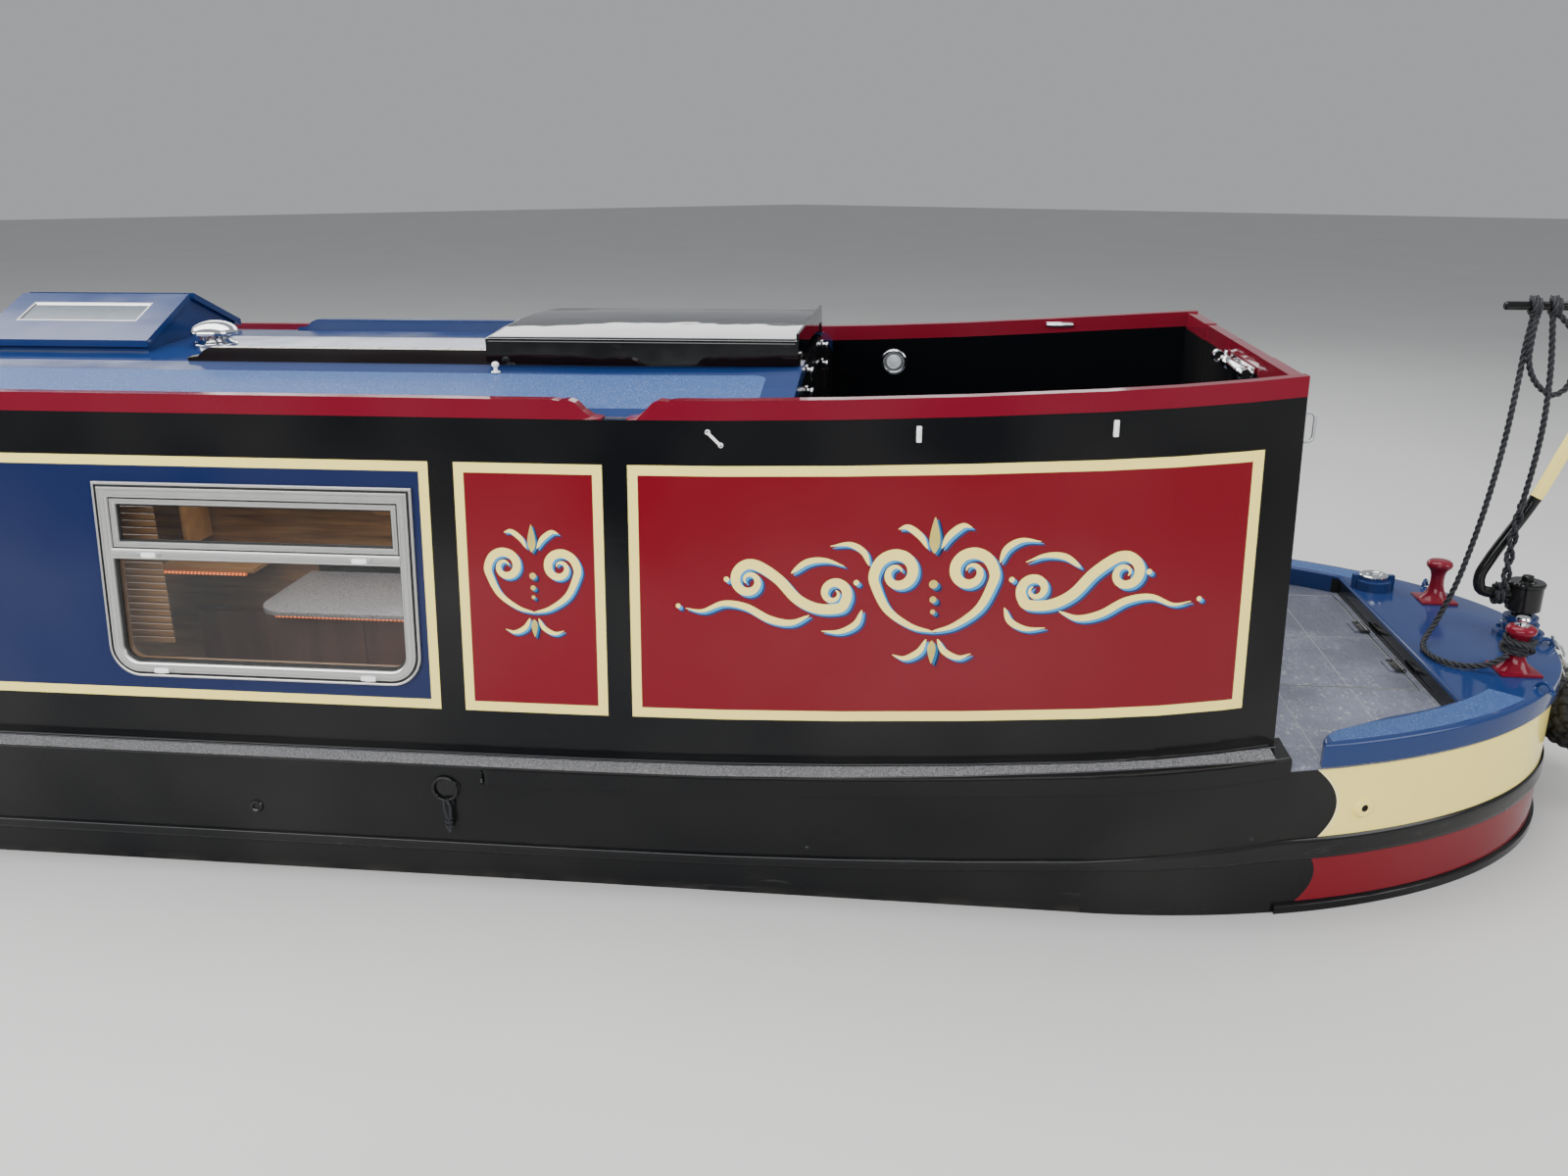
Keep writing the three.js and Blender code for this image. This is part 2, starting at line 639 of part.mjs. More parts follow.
// The rail along the edge of the roof. Its ends sweep down in an ogee.
function rail(side, x0, x1, endFore, endAft) {
  const sweep = [[0, 0.03], [28, 0.1], [52, 0.42], [74, 0.86], [92, 1], [120, 0.94], [140, 1]];
  const heights = new Map();
  const note = (x, k) => heights.set(x, k);
  const foreEnd = endFore ? sweep : [[0, 1]];
  const aftEnd = endAft ? sweep : [[0, 1]];
  foreEnd.forEach(([d, k]) => note(x0 + d, k));
  hull.sheerSteps.filter((x) => x > x0 + (endFore ? 160 : 1) && x < x1 - (endAft ? 160 : 1))
    .forEach((x) => note(x, 1));
  [...aftEnd].reverse().forEach(([d, k]) => note(x1 - d, k));
  const rings = [...heights].sort((a, b) => a[0] - b[0]).map(([x, k]) => {
    const z0 = cabin.eaves + lift(x) + seat;
    const z1 = lerp(z0 + 3, cabin.railTop + lift(x), k);
    const outer = cabinOuter(x, z0) + 2;
    return mirrored([
      [x, outer, z0],
      [x, outer - 3, z1],
      [x, outer - cabin.railWide, z1],
      [x, outer - cabin.railWide + 4, z0],
    ], side);
  });
  return loft(rings);
}

// The runner that the hatch slides on, with its foot on the crowned roof.
function hatchRunner(side) {
  const { x0, y0, y1, top } = runner;
  const rows = [[x0, 0.25], [x0 + 36, 0.35], [x0 + 58, 0.8], [x0 + 80, 1], [5600, 1], [6000, 1],
    [cabin.rear - 8, 1]];
  return loft(rows.map(([x, k]) => {
    const knuckle = roofHalfAt(x) / 2;
    const foot = [y0, knuckle, y1].map((y) => [x, y, roofHeight(x, y) + seat]);
    const high = (y) => [x, y, lerp(roofHeight(x, y), top, k)];
    return mirrored([...foot, high(y1), high(y0)], side);
  }));
}

// The hatch's skirts hang outside the runners, and its end walls clear the crown of the roof.
function slidingHatch() {
  const { x0, x1, half, skirt, low, edge, crown, wall, lip } = hatch;
  const steps = [-1, -0.6, -0.2, 0.2, 0.6, 1];
  const arch = (reach, top) => steps.map((s) => [s * reach, top + crown * (1 - s ** 2)]);
  const outer = section([[half, low], [-half, low], ...arch(half, edge)], x0, x1);
  const shelf = runner.top + 2 * seat;
  const inside = half - skirt;
  const ride = runner.y0 - clear;
  const over = (y) => [y, roofHeight(x1, y) + clear + 1];
  const overRoof = [-0.25, 0, 0.25].map((s) => over(s * roofHalfAt(x1)));
  const overEdge = over(ride);
  const track = [[inside, low - 50], [inside, shelf], [ride, shelf], overEdge, ...[...overRoof].reverse(),
    [-overEdge[0], overEdge[1]], [-ride, shelf], [-inside, shelf], [-inside, low - 50]];
  const hollow = [[ride, low - 20], [-ride, low - 20], ...arch(ride, edge - wall)];
  const room = section(hollow, x0 + wall, x1 - wall);
  const upstand = box(x1 - 8, x1, 12 - half, half - 12, edge - 4, edge + lip);
  return join(cut(outer, section(track, x0 - 10, x1 + 10), room), upstand);
}

function pigeonBox() {
  const { x0, x1, half, eaves, ridge, wall } = pigeon;
  const knuckle = roofHalfAt(x0) / 4; // where the roof's facets meet
  const foot = [half, knuckle, 0, -knuckle, -half].map((y) => [y, roofHeight(x0, y) + seat]);
  const gable = [...foot, [-half, eaves], [0, ridge], [half, eaves]];
  const shell = section(gable, x0, x1);
  const inside = section([[half - wall, 2000], [wall - half, 2000], [wall - half, eaves - 4],
    [0, ridge + 120], [half - wall, eaves - 4]], x0 + wall, x1 - wall);
  const beamHalf = 26;
  const beam = section([[-beamHalf, ridge - 60], [beamHalf, ridge - 60], [beamHalf, ridge - 12], [0, ridge],
    [-beamHalf, ridge - 12]], x0 + 5, x1 - 5);
  return join(cut(shell, inside), beam);
}

// A lid of the pigeon box, hung at the ridge.
function pigeonLid(side) {
  const { x0, x1, half, eaves, ridge, lid } = pigeon;
  const lap = 14;
  const slope = (ridge - eaves) / half;
  const line = (y) => ridge - slope * y + 0.6;
  const [y0, y1] = [16, half + 22];
  const rings = [x0 - lap, x1 + lap].map((x) => mirrored([
    [x, y0, line(y0)],
    [x, y1, line(y1)],
    [x, y1, line(y1) + lid],
    [x, y0, line(y0) + lid],
  ], side));
  const [g0, g1] = [72, 188];
  const glass = [x0 + 66, x1 - 86].map((x) => mirrored([
    [x, g0, line(g0) + lid - 8],
    [x, g1, line(g1) + lid - 8],
    [x, g1, line(g1) + lid + 20],
    [x, g0, line(g0) + lid + 20],
  ], side));
  return cut(loft(rings), loft(glass));
}

function mushroomVent(x, y) {
  const z = roofHeight(x, y);
  const profile = [[0, -20], [52, -20], [52, 8], [40, 12], [40, 34], [72, 34], [78, 44], [70, 60], [45, 74],
    [0, 80]];
  return cut(turned(profile.map(([radius, up]) => [radius, z + up]), x, y), roofSlab(seat));
}

// A mooring dolly: a square foot and a waisted post.
function dolly(x, y, z, deep = 0) {
  const foot = box(x - 62, x + 62, y - 62, y + 62, z - deep, z + 8);
  const post = turned([[0, z], [44, z], [42, z + 14], [28, z + 40], [23, z + 70], [24, z + 96], [34, z + 118],
    [44, z + 126], [44, z + 140], [34, z + 152], [0, z + 152]], x, y);
  return join(foot, post);
}

function foreDeck(raised = 0, depth = 0) {
  const from = -7560;
  const crown = 22;
  const xs = [from, ...bowStations.filter((x) => x < from - 30).reverse()];
  const rings = xs.map((x) => {
    const at = station(x);
    const half = Math.max(8, at.top.y - 4);
    const z = at.top.z + seat + raised;
    const middle = z + 8 + crown * (half / hull.half);
    return [[x, -half, z - depth], [x, half, z - depth], [x, half, z + 6], [x, 0, middle], [x, -half, z + 6]];
  });
  return loft(rings);
}

function skinAt(x, z, inwards) {
  let at = station(x);
  for (let i = 0; i < 12; i += 1) {
    const [px] = onSkin(at, z);
    at = station(at.top.x + (x - px));
  }
  return onSkin(at, z, inwards)[1];
}

// The floor of the bow well and the locker's wall ahead of it.
function bowWell() {
  const [floorLow, floorTop] = [820, 850];
  const aft = cabin.front - seat;
  const fore = -7570;
  const xs = [0, 0.25, 0.5, 0.75, 1].map((t) => lerp(aft, fore, t));
  const edge = xs.map((x) => [x, skinAt(x, floorLow, hull.skin + 2)]);
  const floor = plan([...edge, ...edge.map(([x, y]) => [x, -y]).reverse()], floorLow, floorTop);
  const top = hull.gunwale + rise(fore + 20) - hull.plate - 4;
  const halves = [floorLow, top].map((z) => [skinAt(fore, z, hull.skin + 2), z]);
  const wall = section([...halves, ...halves.map(([y, z]) => [-y, z]).reverse()], fore, fore + 20);
  return join(floor, wall);
}

function stemPost() {
  const [footX, topX] = [hull.bowFrom - hull.bowFoot - seat, hull.bowFrom - hull.bowTop - seat];
  const top = hull.gunwale + hull.bowRise;
  const thick = 40;
  const outline = [[footX, 0], [footX, hull.base + seat], [topX, top], [topX, top + 25],
    [topX - thick, top + 25], [topX - thick, top - 15], [footX - thick, 0]];
  return elevation(outline, -hull.stemHalf, hull.stemHalf);
}

function wellFloor() {
  const xs = [cabin.rear + seat, 6700, hull.sternFrom, 7240, 7420, hull.counterFrom - 2];
  const edge = xs.map((x) => [x, onSkin(station(x), cabin.well - hull.plate, hull.skin + 2)[1]]);
  return plan([...edge, ...edge.map(([x, y]) => [x, -y]).reverse()], cabin.well - hull.plate, cabin.well);
}

// The bar below the propeller, the post that closes the swims, the stern tube and the rudder's cup.
function skeg() {
  const [x0, x1] = [hull.swimTo + seat, rudder.x + 60];
  const shaft = propeller.z;
  const lower = box(x0, x1, -45, 45, 0, 50);
  const post = box(x0, x0 + 40, -40, 40, 0, hull.counter - uxterThick - seat);
  const tube = rod([x0 + 10, 0, shaft], [propeller.x - 50, 0, shaft], 36);
  const cup = rod([rudder.x, 0, 10], [rudder.x, 0, 80], 48);
  const bore = rod([x0 - 50, 0, shaft], [propeller.x, 0, shaft], propeller.shaft + 0.7);
  const socket = rod([rudder.x, 0, 60], [rudder.x, 0, 120], rudder.radius + 2);
  return cut(join(lower, post, tube, cup), bore, socket);
}

function rudderBlade() {
  const { x, radius, top, low, high, fore, aft, thick } = rudder;
  const stock = rod([x, 0, 60.4], [x, 0, top], radius);
  const cutaway = 60;
  const blade = elevation([[fore, low + cutaway], [fore + cutaway, low], [aft - cutaway, low],
    [aft, low + cutaway], [aft, high - 20], [aft - 20, high], [fore, high]], -thick / 2, thick / 2);
  return join(stock, blade);
}

// The line's turns round the port dolly, and its run along the deck and up to the tiller's pipe.
const line = {
  radius: 10,
  turns: { low: 1326, high: 1392, wide: 47 },
  route: [[8389, -375, 1338], [8345, -372, 1308], [8295, -356, 1290], [8235, -322, 1287],
    [8206, -250, 1286.7], [8216, -165, 1291], [8262, -95, 1350], [8300, -80, 1470], [8325, -70, 1580],
    [8350, -60, 1725], [8390, -50, 1950], [8430, -35, 2170], [8470, -14, 2285], [8485, -3, 2320],
    [8486, -2, 2338.3]],
};

// The tiller: a drum on the stock, a swan neck, the pipe that the tiller bar slips on, and the line's hitches
// on it with the strand that is lashed to the neck.
const tiller = {
  drumLow: 1363, drumTop: 1463, drumRadius: 58,
  neck: [[8560, 0, 1420], [8480, 0, 1420], [8436, 0, 1432], [8426, 0, 1475], [8450, 0, 1540], [8554, 0, 1743],
    [8624, 0, 1924], [8740, 0, 2225], [8796, 0, 2330], [8770, 0, 2362], [8700, 0, 2365]],
  neckRadius: 20, pipeFrom: 8357, pipeZ: 2365, pipeRadius: 14,
  hitches: [8486, 8544], hitchHalf: 14, hitchRadius: 26,
  strand: [[8544, -4, 2348], [8520, -14, 2150], [8478, -22, 1860], [8446, -26, 1610], [8432, -20, 1500],
    [8430, -6, 1445]],
};

function tillerNeck() {
  const { drumLow, drumTop, drumRadius, neck, neckRadius, pipeFrom, pipeZ, pipeRadius } = tiller;
  const drum = rod([rudder.x, 0, drumLow], [rudder.x, 0, drumTop], drumRadius, 28);
  const nut = rod([rudder.x, 0, drumTop - 5], [rudder.x, 0, drumTop + 22], 20, 6);
  const last = neck[neck.length - 1];
  const pipe = rod([pipeFrom, 0, pipeZ], [last[0] + 20, 0, pipeZ], pipeRadius, 14);
  const { hitches, hitchHalf, hitchRadius, strand } = tiller;
  const lashed = bar(strand, line.radius, 8, 24);
  const turn = (x) => rod([x - hitchHalf, 0, pipeZ], [x + hitchHalf, 0, pipeZ], hitchRadius, 14);
  const turns = hitches.map(turn);
  return join(drum, nut, bar(neck, neckRadius, 10, 44), pipe, lashed, ...turns);
}

function screw() {
  const { x, z, radius, shaft, hub, blades } = propeller;
  const parts = [
    rod([hull.swimTo + 10, 0, z], [x + 10, 0, z], shaft),
    rod([x - 45, 0, z], [x + 45, 0, z], hub, 20),
    rod([x + 45, 0, z], [x + 80, 0, z], 26, 12, 8),
  ];
  const rows = [[hub - 12, 26, 52], [90, 55, 40], [150, 72, 32], [200, 60, 26], [radius, 30, 23]];
  for (let b = 0; b < blades; b += 1) {
    const spin = new THREE.Matrix4().makeRotationX((2 * Math.PI * b) / blades);
    const rings = rows.map(([r, chord, pitch]) => {
      const angle = THREE.MathUtils.degToRad(pitch);
      const [sin, cos] = [Math.sin(angle), Math.cos(angle)];
      const corner = (s, d) => new THREE.Vector3(s * chord * sin + d * cos, s * chord * cos - d * sin, r)
        .applyMatrix4(spin).add(new THREE.Vector3(x, 0, z)).toArray();
      return [corner(-1, -4), corner(1, -4), corner(1, 4), corner(-1, 4)];
    });
    const across = Math.abs(Math.cos((2 * Math.PI * b) / blades)) > 0.6 ? 2 : 1;
    parts.push(loft(rings, across));
  }
  return join(...parts);
}

function engineBlock() {
  const [x0, x1] = [6380, 7050];
  const parts = [box(x0, x1, -220, 220, 300, 960)];
  for (const side of [-1, 1]) {
    parts.push(box(x0 - 40, x1 + 40, side * 205 - 30, side * 205 + 30, hull.base + seat, 310));
  }
  return join(...parts);
}

// The cabin's floor, with the galley's cupboards and worktop that the after windows show.
function cabinFloor() {
  const floor = box(-5940, 6245, -880, 880, hull.base + seat, cabin.floor);
  const [x0, x1, y0, y1] = [3300, 5300, 335, 870];
  const worktop = { top: 1060, thick: 38, over: 20 };
  const under = worktop.top - worktop.thick;
  const { over } = worktop;
  const cupboards = box(x0 + over, x1 - over, y0 + over, y1, cabin.floor - 2, under + 2);
  return join(floor, cupboards, box(x0, x1, y0, y1, under, worktop.top));
}

// A fender: a fat woven rope roll, turned about an axis across the boat or upright.
function fender(profile, x, z, upright) {
  const points = profile.map(([radius, along]) => new THREE.Vector2(radius, along));
  const geometry = new THREE.LatheGeometry(points, 18);
  if (upright) geometry.rotateX(Math.PI / 2);
  return solidOf(geometry.translate(x, 0, z));
}

// The two chains that carry the stern fender, from just outside their eyes.
function fenderChains() {
  return [-1, 1].map((side) => rod([8658, side * 104, 1291], [8752, side * 100, 1105], 5, 8));
}

function lineTurns(x, y) {
  const { low, high, wide } = line.turns;
  const count = Math.round((high - low) / (2 * line.radius));
  const pitch = (high - low) / count;
  const profile = [[0, low]];
  for (let i = 0; i < count; i += 1) {
    profile.push([wide - 6, low + pitch * i], [wide, low + pitch * (i + 0.5)]);
  }
  profile.push([wide - 6, high], [0, high]);
  return turned(profile, x, y, 18);
}

function fuelFiller(x, y) {
  const z = sternDeck.cappingTop + seat;
  const ring = turned([[0, z], [64, z], [64, z + 34], [52, z + 38], [52, z + 46], [0, z + 48]], x, y);
  const ears = [-1, 1].map((s) => box(x + s * 62 - 12, x + s * 62 + 12, y - 10, y + 10, z, z + 52));
  return join(ring, ...ears);
}

function rudderBearing() {
  const z = sternDeck.cappingTop + seat;
  const body = turned([[0, z], [78, z], [78, z + 14], [48, z + 16], [46, z + 70], [0, z + 70]], rudder.x, 0);
  return cut(body, stockBore(0, 2000));
}

// Build the boat.
add('base_plate', basePlate(), 'hullBlack');
add('stem_post', stemPost(), 'hullBlack');
for (const [name, side] of sides) {
  add(`hull_side_${name}`, hullSide(side), 'hullBlack');
  add(`swim_${name}`, swim(side), 'hullBlack');
}
add('uxter_plate', uxterPlate(), 'hullBlack');
add('skeg', skeg(), 'hullBlack');
add('counter_stern', counterStern(), 'cream');
add('second_guard', secondGuard(), 'hullBlack');
add('stern_deck', deckPlate(), 'deck');
add('stern_capping', sternCapping(), 'blue');
add('deck_board', deckBoard(), 'deck');
add('engine_block', engineBlock(), 'engine');
add('cabin_floor', cabinFloor(), 'wood');
add('well_floor', wellFloor(), 'deck');
add('bow_well', bowWell(), 'deck');
add('fore_deck', foreDeck(), 'blue');

add('front_bulkhead', bulkhead(cabin.front, cabin.front + cabin.wall, frontDoor), 'black');
add('rear_bulkhead', bulkhead(cabin.rear - cabin.wall, cabin.rear, rearDoor), 'black');
add('aft_bulkhead', aftBulkhead(), 'black');
add('roof', roof(), 'blue');
for (const [name, side] of sides) {
  add(`cabin_side_${name}`, cabinSide(side), 'black');
  add(`handrail_${name}`, rail(side, cabin.front, 5665, false, true), 'red');
  add(`coaming_${name}`, rail(side, 5737, cabin.aft, true, false), 'red');
  add(`hatch_runner_${name}`, hatchRunner(side), side < 0 ? 'black' : 'blue');
  windowFrom.forEach((x, i) => add(`window_${name}_${i + 1}`, windowUnit(x, side), 'aluminium'));
  add(`front_door_${name}`, join(leaf(cabin.front, -1, side, frontDoor),
    ...hinges(cabin.front, -1, side, frontDoor)), 'blue');
  add(`rear_door_${name}`, join(leaf(cabin.rear, 1, side, rearDoor),
    ...hinges(cabin.rear, 1, side, rearDoor)), 'black');
  add(`aft_door_${name}`, join(leaf(cabin.aft, 1, side, aftDoor),
    ...hinges(cabin.aft, 1, side, aftDoor)), 'black');
  add(`pigeon_lid_${name}`, pigeonLid(side), 'blue');
  const post = dolly(8430, side * 340, sternDeck.cappingTop + seat);
  add(`dolly_${name}`, side < 0 ? join(post, lineTurns(8430, side * 340)) : post, 'red');
}
add('sliding_hatch', slidingHatch(), 'black');
add('pigeon_box', pigeonBox(), 'blue');
add('roof_vent_aft', mushroomVent(4161, -165), 'chrome');
add('roof_vent_fore', mushroomVent(-2600, 0), 'chrome');
add('fuel_filler', fuelFiller(8250, 460), 'blue');
add('rudder_bearing', rudderBearing(), 'blue');
add('bow_dolly', cut(dolly(-7900, 0, hull.gunwale + rise(-7900) + 33, 40), foreDeck(seat, 200)), 'red');

add('rudder', rudderBlade(), 'hullBlack');
add('tiller', tillerNeck(), 'black');
add('propeller', screw(), 'bronze');
const sternRoll = fender([[0, -230], [60, -222], [98, -170], [114, -90], [117, 0], [114, 90],
  [98, 170], [60, 222], [0, 230]], 8769.8, 1020, false);
add('stern_fender', join(sternRoll, ...fenderChains()), 'rope');
add('bow_fender', fender([[0, -190], [42, -185], [70, -140], [86, -60], [90.8, 20], [84, 100],
  [64, 160], [32, 188], [0, 190]], -8795.6, 1350, true), 'rope');
add('tiller_line', bar(line.route, line.radius, 8, 60), 'rope');

export default boat;
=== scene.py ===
import math

import bmesh
import bpy
from mathutils import Matrix, Vector


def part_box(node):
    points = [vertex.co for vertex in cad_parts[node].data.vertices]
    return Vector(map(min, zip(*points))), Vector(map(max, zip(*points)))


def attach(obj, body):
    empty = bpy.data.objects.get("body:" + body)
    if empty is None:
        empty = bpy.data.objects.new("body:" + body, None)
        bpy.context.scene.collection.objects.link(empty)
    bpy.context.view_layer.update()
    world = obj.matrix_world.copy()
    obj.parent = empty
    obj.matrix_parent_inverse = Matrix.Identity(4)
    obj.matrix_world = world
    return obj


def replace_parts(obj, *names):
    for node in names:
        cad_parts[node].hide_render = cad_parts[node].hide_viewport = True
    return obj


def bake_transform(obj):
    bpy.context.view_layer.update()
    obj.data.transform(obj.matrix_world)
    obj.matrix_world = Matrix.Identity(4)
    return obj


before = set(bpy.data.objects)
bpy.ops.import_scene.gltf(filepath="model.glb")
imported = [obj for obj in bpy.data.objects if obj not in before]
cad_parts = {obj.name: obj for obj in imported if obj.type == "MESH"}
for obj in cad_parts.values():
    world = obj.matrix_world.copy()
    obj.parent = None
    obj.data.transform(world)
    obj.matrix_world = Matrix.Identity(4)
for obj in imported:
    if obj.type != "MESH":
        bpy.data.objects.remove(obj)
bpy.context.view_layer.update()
print("frame loaded:", len(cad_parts), "nodes")
sides = ((-1, "port"), (1, "starboard"))

# The boat's own lines, in metres: x aft, y to starboard, z up
boat = {
    "half": 1.030, "gunwale": 1.120, "water": 0.745, "nose": 0.0223, "keel": 0.0123,
    "bowFrom": -6.300, "bowTop": 2.390, "bowFoot": 1.850, "bowRise": 0.400, "sternFrom": 7.050,
    "sternLong": 1.600, "inset": 0.092, "lean": 0.1015 / 1.040, "wall": 0.040, "eaves": 2.123, "crown": 0.110,
    "sheer": [5.600, 6.000, 6.350, 6.700, 7.050, 7.240, 7.420, 7.600],
    "hullRise": 0.115, "cabinRise": 0.085, "front": -5.950, "rear": 6.190, "aft": 7.575,
}


def mix(a, b, t):
    return a + (b - a) * t


def clamp(v, low=0.0, high=1.0):
    return max(low, min(high, v))


def bowShare(x):
    return clamp((boat["bowFrom"] - x) / boat["bowTop"])


def rise(x, top):
    steps = boat["sheer"]
    stern = 0.0
    for a, b in zip(steps, steps[1:]):
        if x > a:
            up = [top * ((s - steps[0]) / (steps[-1] - steps[0])) ** 2 for s in (a, b)]
            stern = mix(up[0], up[1], clamp((x - a) / (b - a)))
    return stern + boat["bowRise"] * bowShare(x) ** 1.9


def hullTop(x):
    return boat["gunwale"] + rise(x, boat["hullRise"])


def halfAt(x):
    if x > boat["sternFrom"]:
        return boat["half"] * math.sqrt(max(0.0, 1 - ((x - boat["sternFrom"]) / boat["sternLong"]) ** 2))
    return mix(boat["nose"], boat["half"], 1 - bowShare(x) ** 2.1)


def wallHalf(x):
    # the cabin's sides are straight between their stations
    steps = [*boat["sheer"][:-1], boat["aft"]]
    for a, b in zip(steps, steps[1:]):
        if a < x < b:
            return mix(halfAt(a), halfAt(b), (x - a) / (b - a))
    return halfAt(x)


def cabinOuter(x, z):
    return wallHalf(x) - boat["inset"] - boat["lean"] * (z - boat["gunwale"] - rise(x, boat["cabinRise"]))


def roofTop(x, y):
    eaves = boat["eaves"] + rise(x, boat["cabinRise"])
    s = clamp(y / (cabinOuter(x, eaves) - boat["wall"]), -1, 1)
    i = min(7, int((s + 1) * 4))
    a, b = -1 + i / 4, -0.75 + i / 4
    return eaves + boat["crown"] * mix(1 - a * a, 1 - b * b, (s - a) * 4)


# Camera, set where the photograph was taken from
viewpoint = {"place": (6.571, -4.2826, 2.8108), "yaw": -0.1139, "pitch": 0.3249, "roll": -0.0058, "lens": 29.197}


def link(name, data):
    made = bpy.data.objects.new(name, data)
    bpy.context.scene.collection.objects.link(made)
    return made


def setCamera():
    yaw, pitch, roll = viewpoint["yaw"], viewpoint["pitch"], viewpoint["roll"]
    ahead = Vector((math.sin(yaw) * math.cos(pitch), math.cos(yaw) * math.cos(pitch), -math.sin(pitch)))
    right = Vector((math.cos(yaw), -math.sin(yaw), 0))
    up = right.cross(ahead)
    right, up = right * math.cos(roll) + up * math.sin(roll), up * math.cos(roll) - right * math.sin(roll)
    data = bpy.data.cameras.new("camera")
    data.lens, data.sensor_width = viewpoint["lens"], 36
    camera = link("camera", data)
    turn = Matrix((right, up, -ahead)).transposed().to_4x4()
    camera.matrix_world = Matrix.Translation(viewpoint["place"]) @ turn
    bpy.context.scene.camera = camera


setCamera()
print("camera set")


# Materials: shader sums are written as plain expressions
def sumOf(operation, swap=False):
    def made(self, *other):
        terms = (*other, self) if swap else (self, *other)
        return self.paint.node("Math", {"operation": operation}, *terms)
    return made


class Wire:
    def __init__(self, paint, socket):
        self.paint, self.socket = paint, socket

    __add__ = __radd__ = sumOf("ADD")
    __sub__, __rsub__ = sumOf("SUBTRACT"), sumOf("SUBTRACT", swap=True)
    __mul__ = __rmul__ = sumOf("MULTIPLY")
    __truediv__, __rtruediv__ = sumOf("DIVIDE"), sumOf("DIVIDE", swap=True)
    __pow__, __abs__ = sumOf("POWER"), sumOf("ABSOLUTE")
    __gt__, __lt__ = sumOf("GREATER_THAN"), sumOf("LESS_THAN")
    __and__, __or__ = sumOf("MINIMUM"), sumOf("MAXIMUM")


class Paint:
    def __init__(self, name):
        self.material = bpy.data.materials.new(name)
        self.material.use_nodes = True
        self.tree = self.material.node_tree
        self.shader = self.tree.nodes["Principled BSDF"]
        self.place = None

    def node(self, kind, settings, *values, out=0, **named):
        made = self.tree.nodes.new("ShaderNode" + kind)
        for key, value in settings.items():
            setattr(made, key, value)
        for key, value in [*enumerate(values), *named.items()]:
            self.feed(made.inputs[key if isinstance(key, int) else key.replace("_", " ")], value)
        return Wire(self, made.outputs[out])

    def feed(self, socket, value):
        if isinstance(value, Wire):
            self.tree.links.new(value.socket, socket)
        else:
            socket.default_value = (*value, 1) if socket.type == "RGBA" and len(value) == 3 else value

    def at(self):
        self.place = self.place or self.node("TexCoord", {}, out=3)
        return self.place

    def split(self, vector):
        made = self.node("SeparateXYZ", {}, vector)
        return [Wire(self, made.socket.node.outputs[i]) for i in range(3)]

    def facesUp(self):
        return self.split(self.node("NewGeometry", {}, out=1))[2]

    def noise(self, scale, detail=3.0, rough=0.55, stretch=None):
        at = self.node("VectorMath", {"operation": "MULTIPLY"}, self.at(), stretch) if stretch else self.at()
        return self.node("TexNoise", {}, Vector=at, Scale=scale, Detail=detail, Roughness=rough)

    def ramp(self, value, low, high, to=(0.0, 1.0)):
        return self.node("MapRange", {"clamp": True}, value, low, high, *to)

    def repeat(self, value, pitch):
        return self.node("Math", {"operation": "PINGPONG"}, value, pitch)

    def blend(self, amount, a, b):
        made = self.node("Mix", {"data_type": "RGBA"}, amount).socket.node
        self.feed(made.inputs[6], a)
        self.feed(made.inputs[7], b)
        return Wire(self, made.outputs[2])

    def bump(self, height, strength, distance, onto=None):
        extra = {"Normal": onto} if onto else {}
        return self.node("Bump", {}, Height=height, Strength=strength, Distance=distance, **extra)

    def finish(self, tone, rough, normal=None, shine=None, **sockets):
        given = {"Base_Color": tone, "Roughness": rough, "Normal": normal, "Specular_IOR_Level": shine, **sockets}
        for name, value in given.items():
            if value is not None:
                self.feed(self.shader.inputs[name.replace("_", " ")], value)
        return self.material


colours = {
    "black": (0.0030, 0.0034, 0.0044), "blue": (0.0095, 0.029, 0.115), "panelBlue": (0.007, 0.014, 0.064),
    "red": (0.155, 0.0036, 0.011), "railRed": (0.150, 0.0035, 0.015), "cream": (0.990, 0.815, 0.225),
    "skyBlue": (0.030, 0.260, 0.560), "navy": (0.012, 0.030, 0.120), "oak": (0.330, 0.175, 0.070),
    "walnut": (0.100, 0.045, 0.022), "dust": (0.240, 0.225, 0.200),
}


def coachFinish(paint, colour, gloss=0.10, grime=0.25, ripple=0.5):
    # hand-brushed gloss: faint brush ripple, settling dust, slight fade
    tone = paint.blend(paint.ramp(paint.noise(1.3, 2.0), 0.35, 0.7, (0.0, 0.05)), colour, colours["dust"])
    specks = paint.ramp(paint.noise(210.0, 2.0, 0.7), 0.66, 0.80)
    patches = paint.ramp(paint.noise(2.4, 4.0, 0.6), 0.45, 0.75)
    dusty = specks * patches * grime
    normal = paint.bump(paint.noise(3.2, 1.0, 0.4), 0.30 * ripple, 0.02)
    normal = paint.bump(paint.noise(22.0, 3.0, 0.5, (0.25, 1.0, 3.0)), 0.10 * ripple, 0.002, normal)
    return (paint.blend(dusty, tone, colours["dust"]), gloss + patches * 0.05 * grime * 4 + dusty * 0.4, normal)


def coachPaint(name, colour, gloss=0.10, grime=0.25, shine=0.28):
    paint = Paint(name)
    return paint.finish(*coachFinish(paint, colour, gloss, grime), shine, Coat_Weight=0.0, Coat_Roughness=0.04)


def oakTone(paint, scale, stretch, light="walnut", dark="oak"):
    grain = paint.noise(scale, 6.0, 0.6, stretch)
    return paint.blend(paint.ramp(grain, 0.3, 0.7), colours[light], colours[dark]), grain


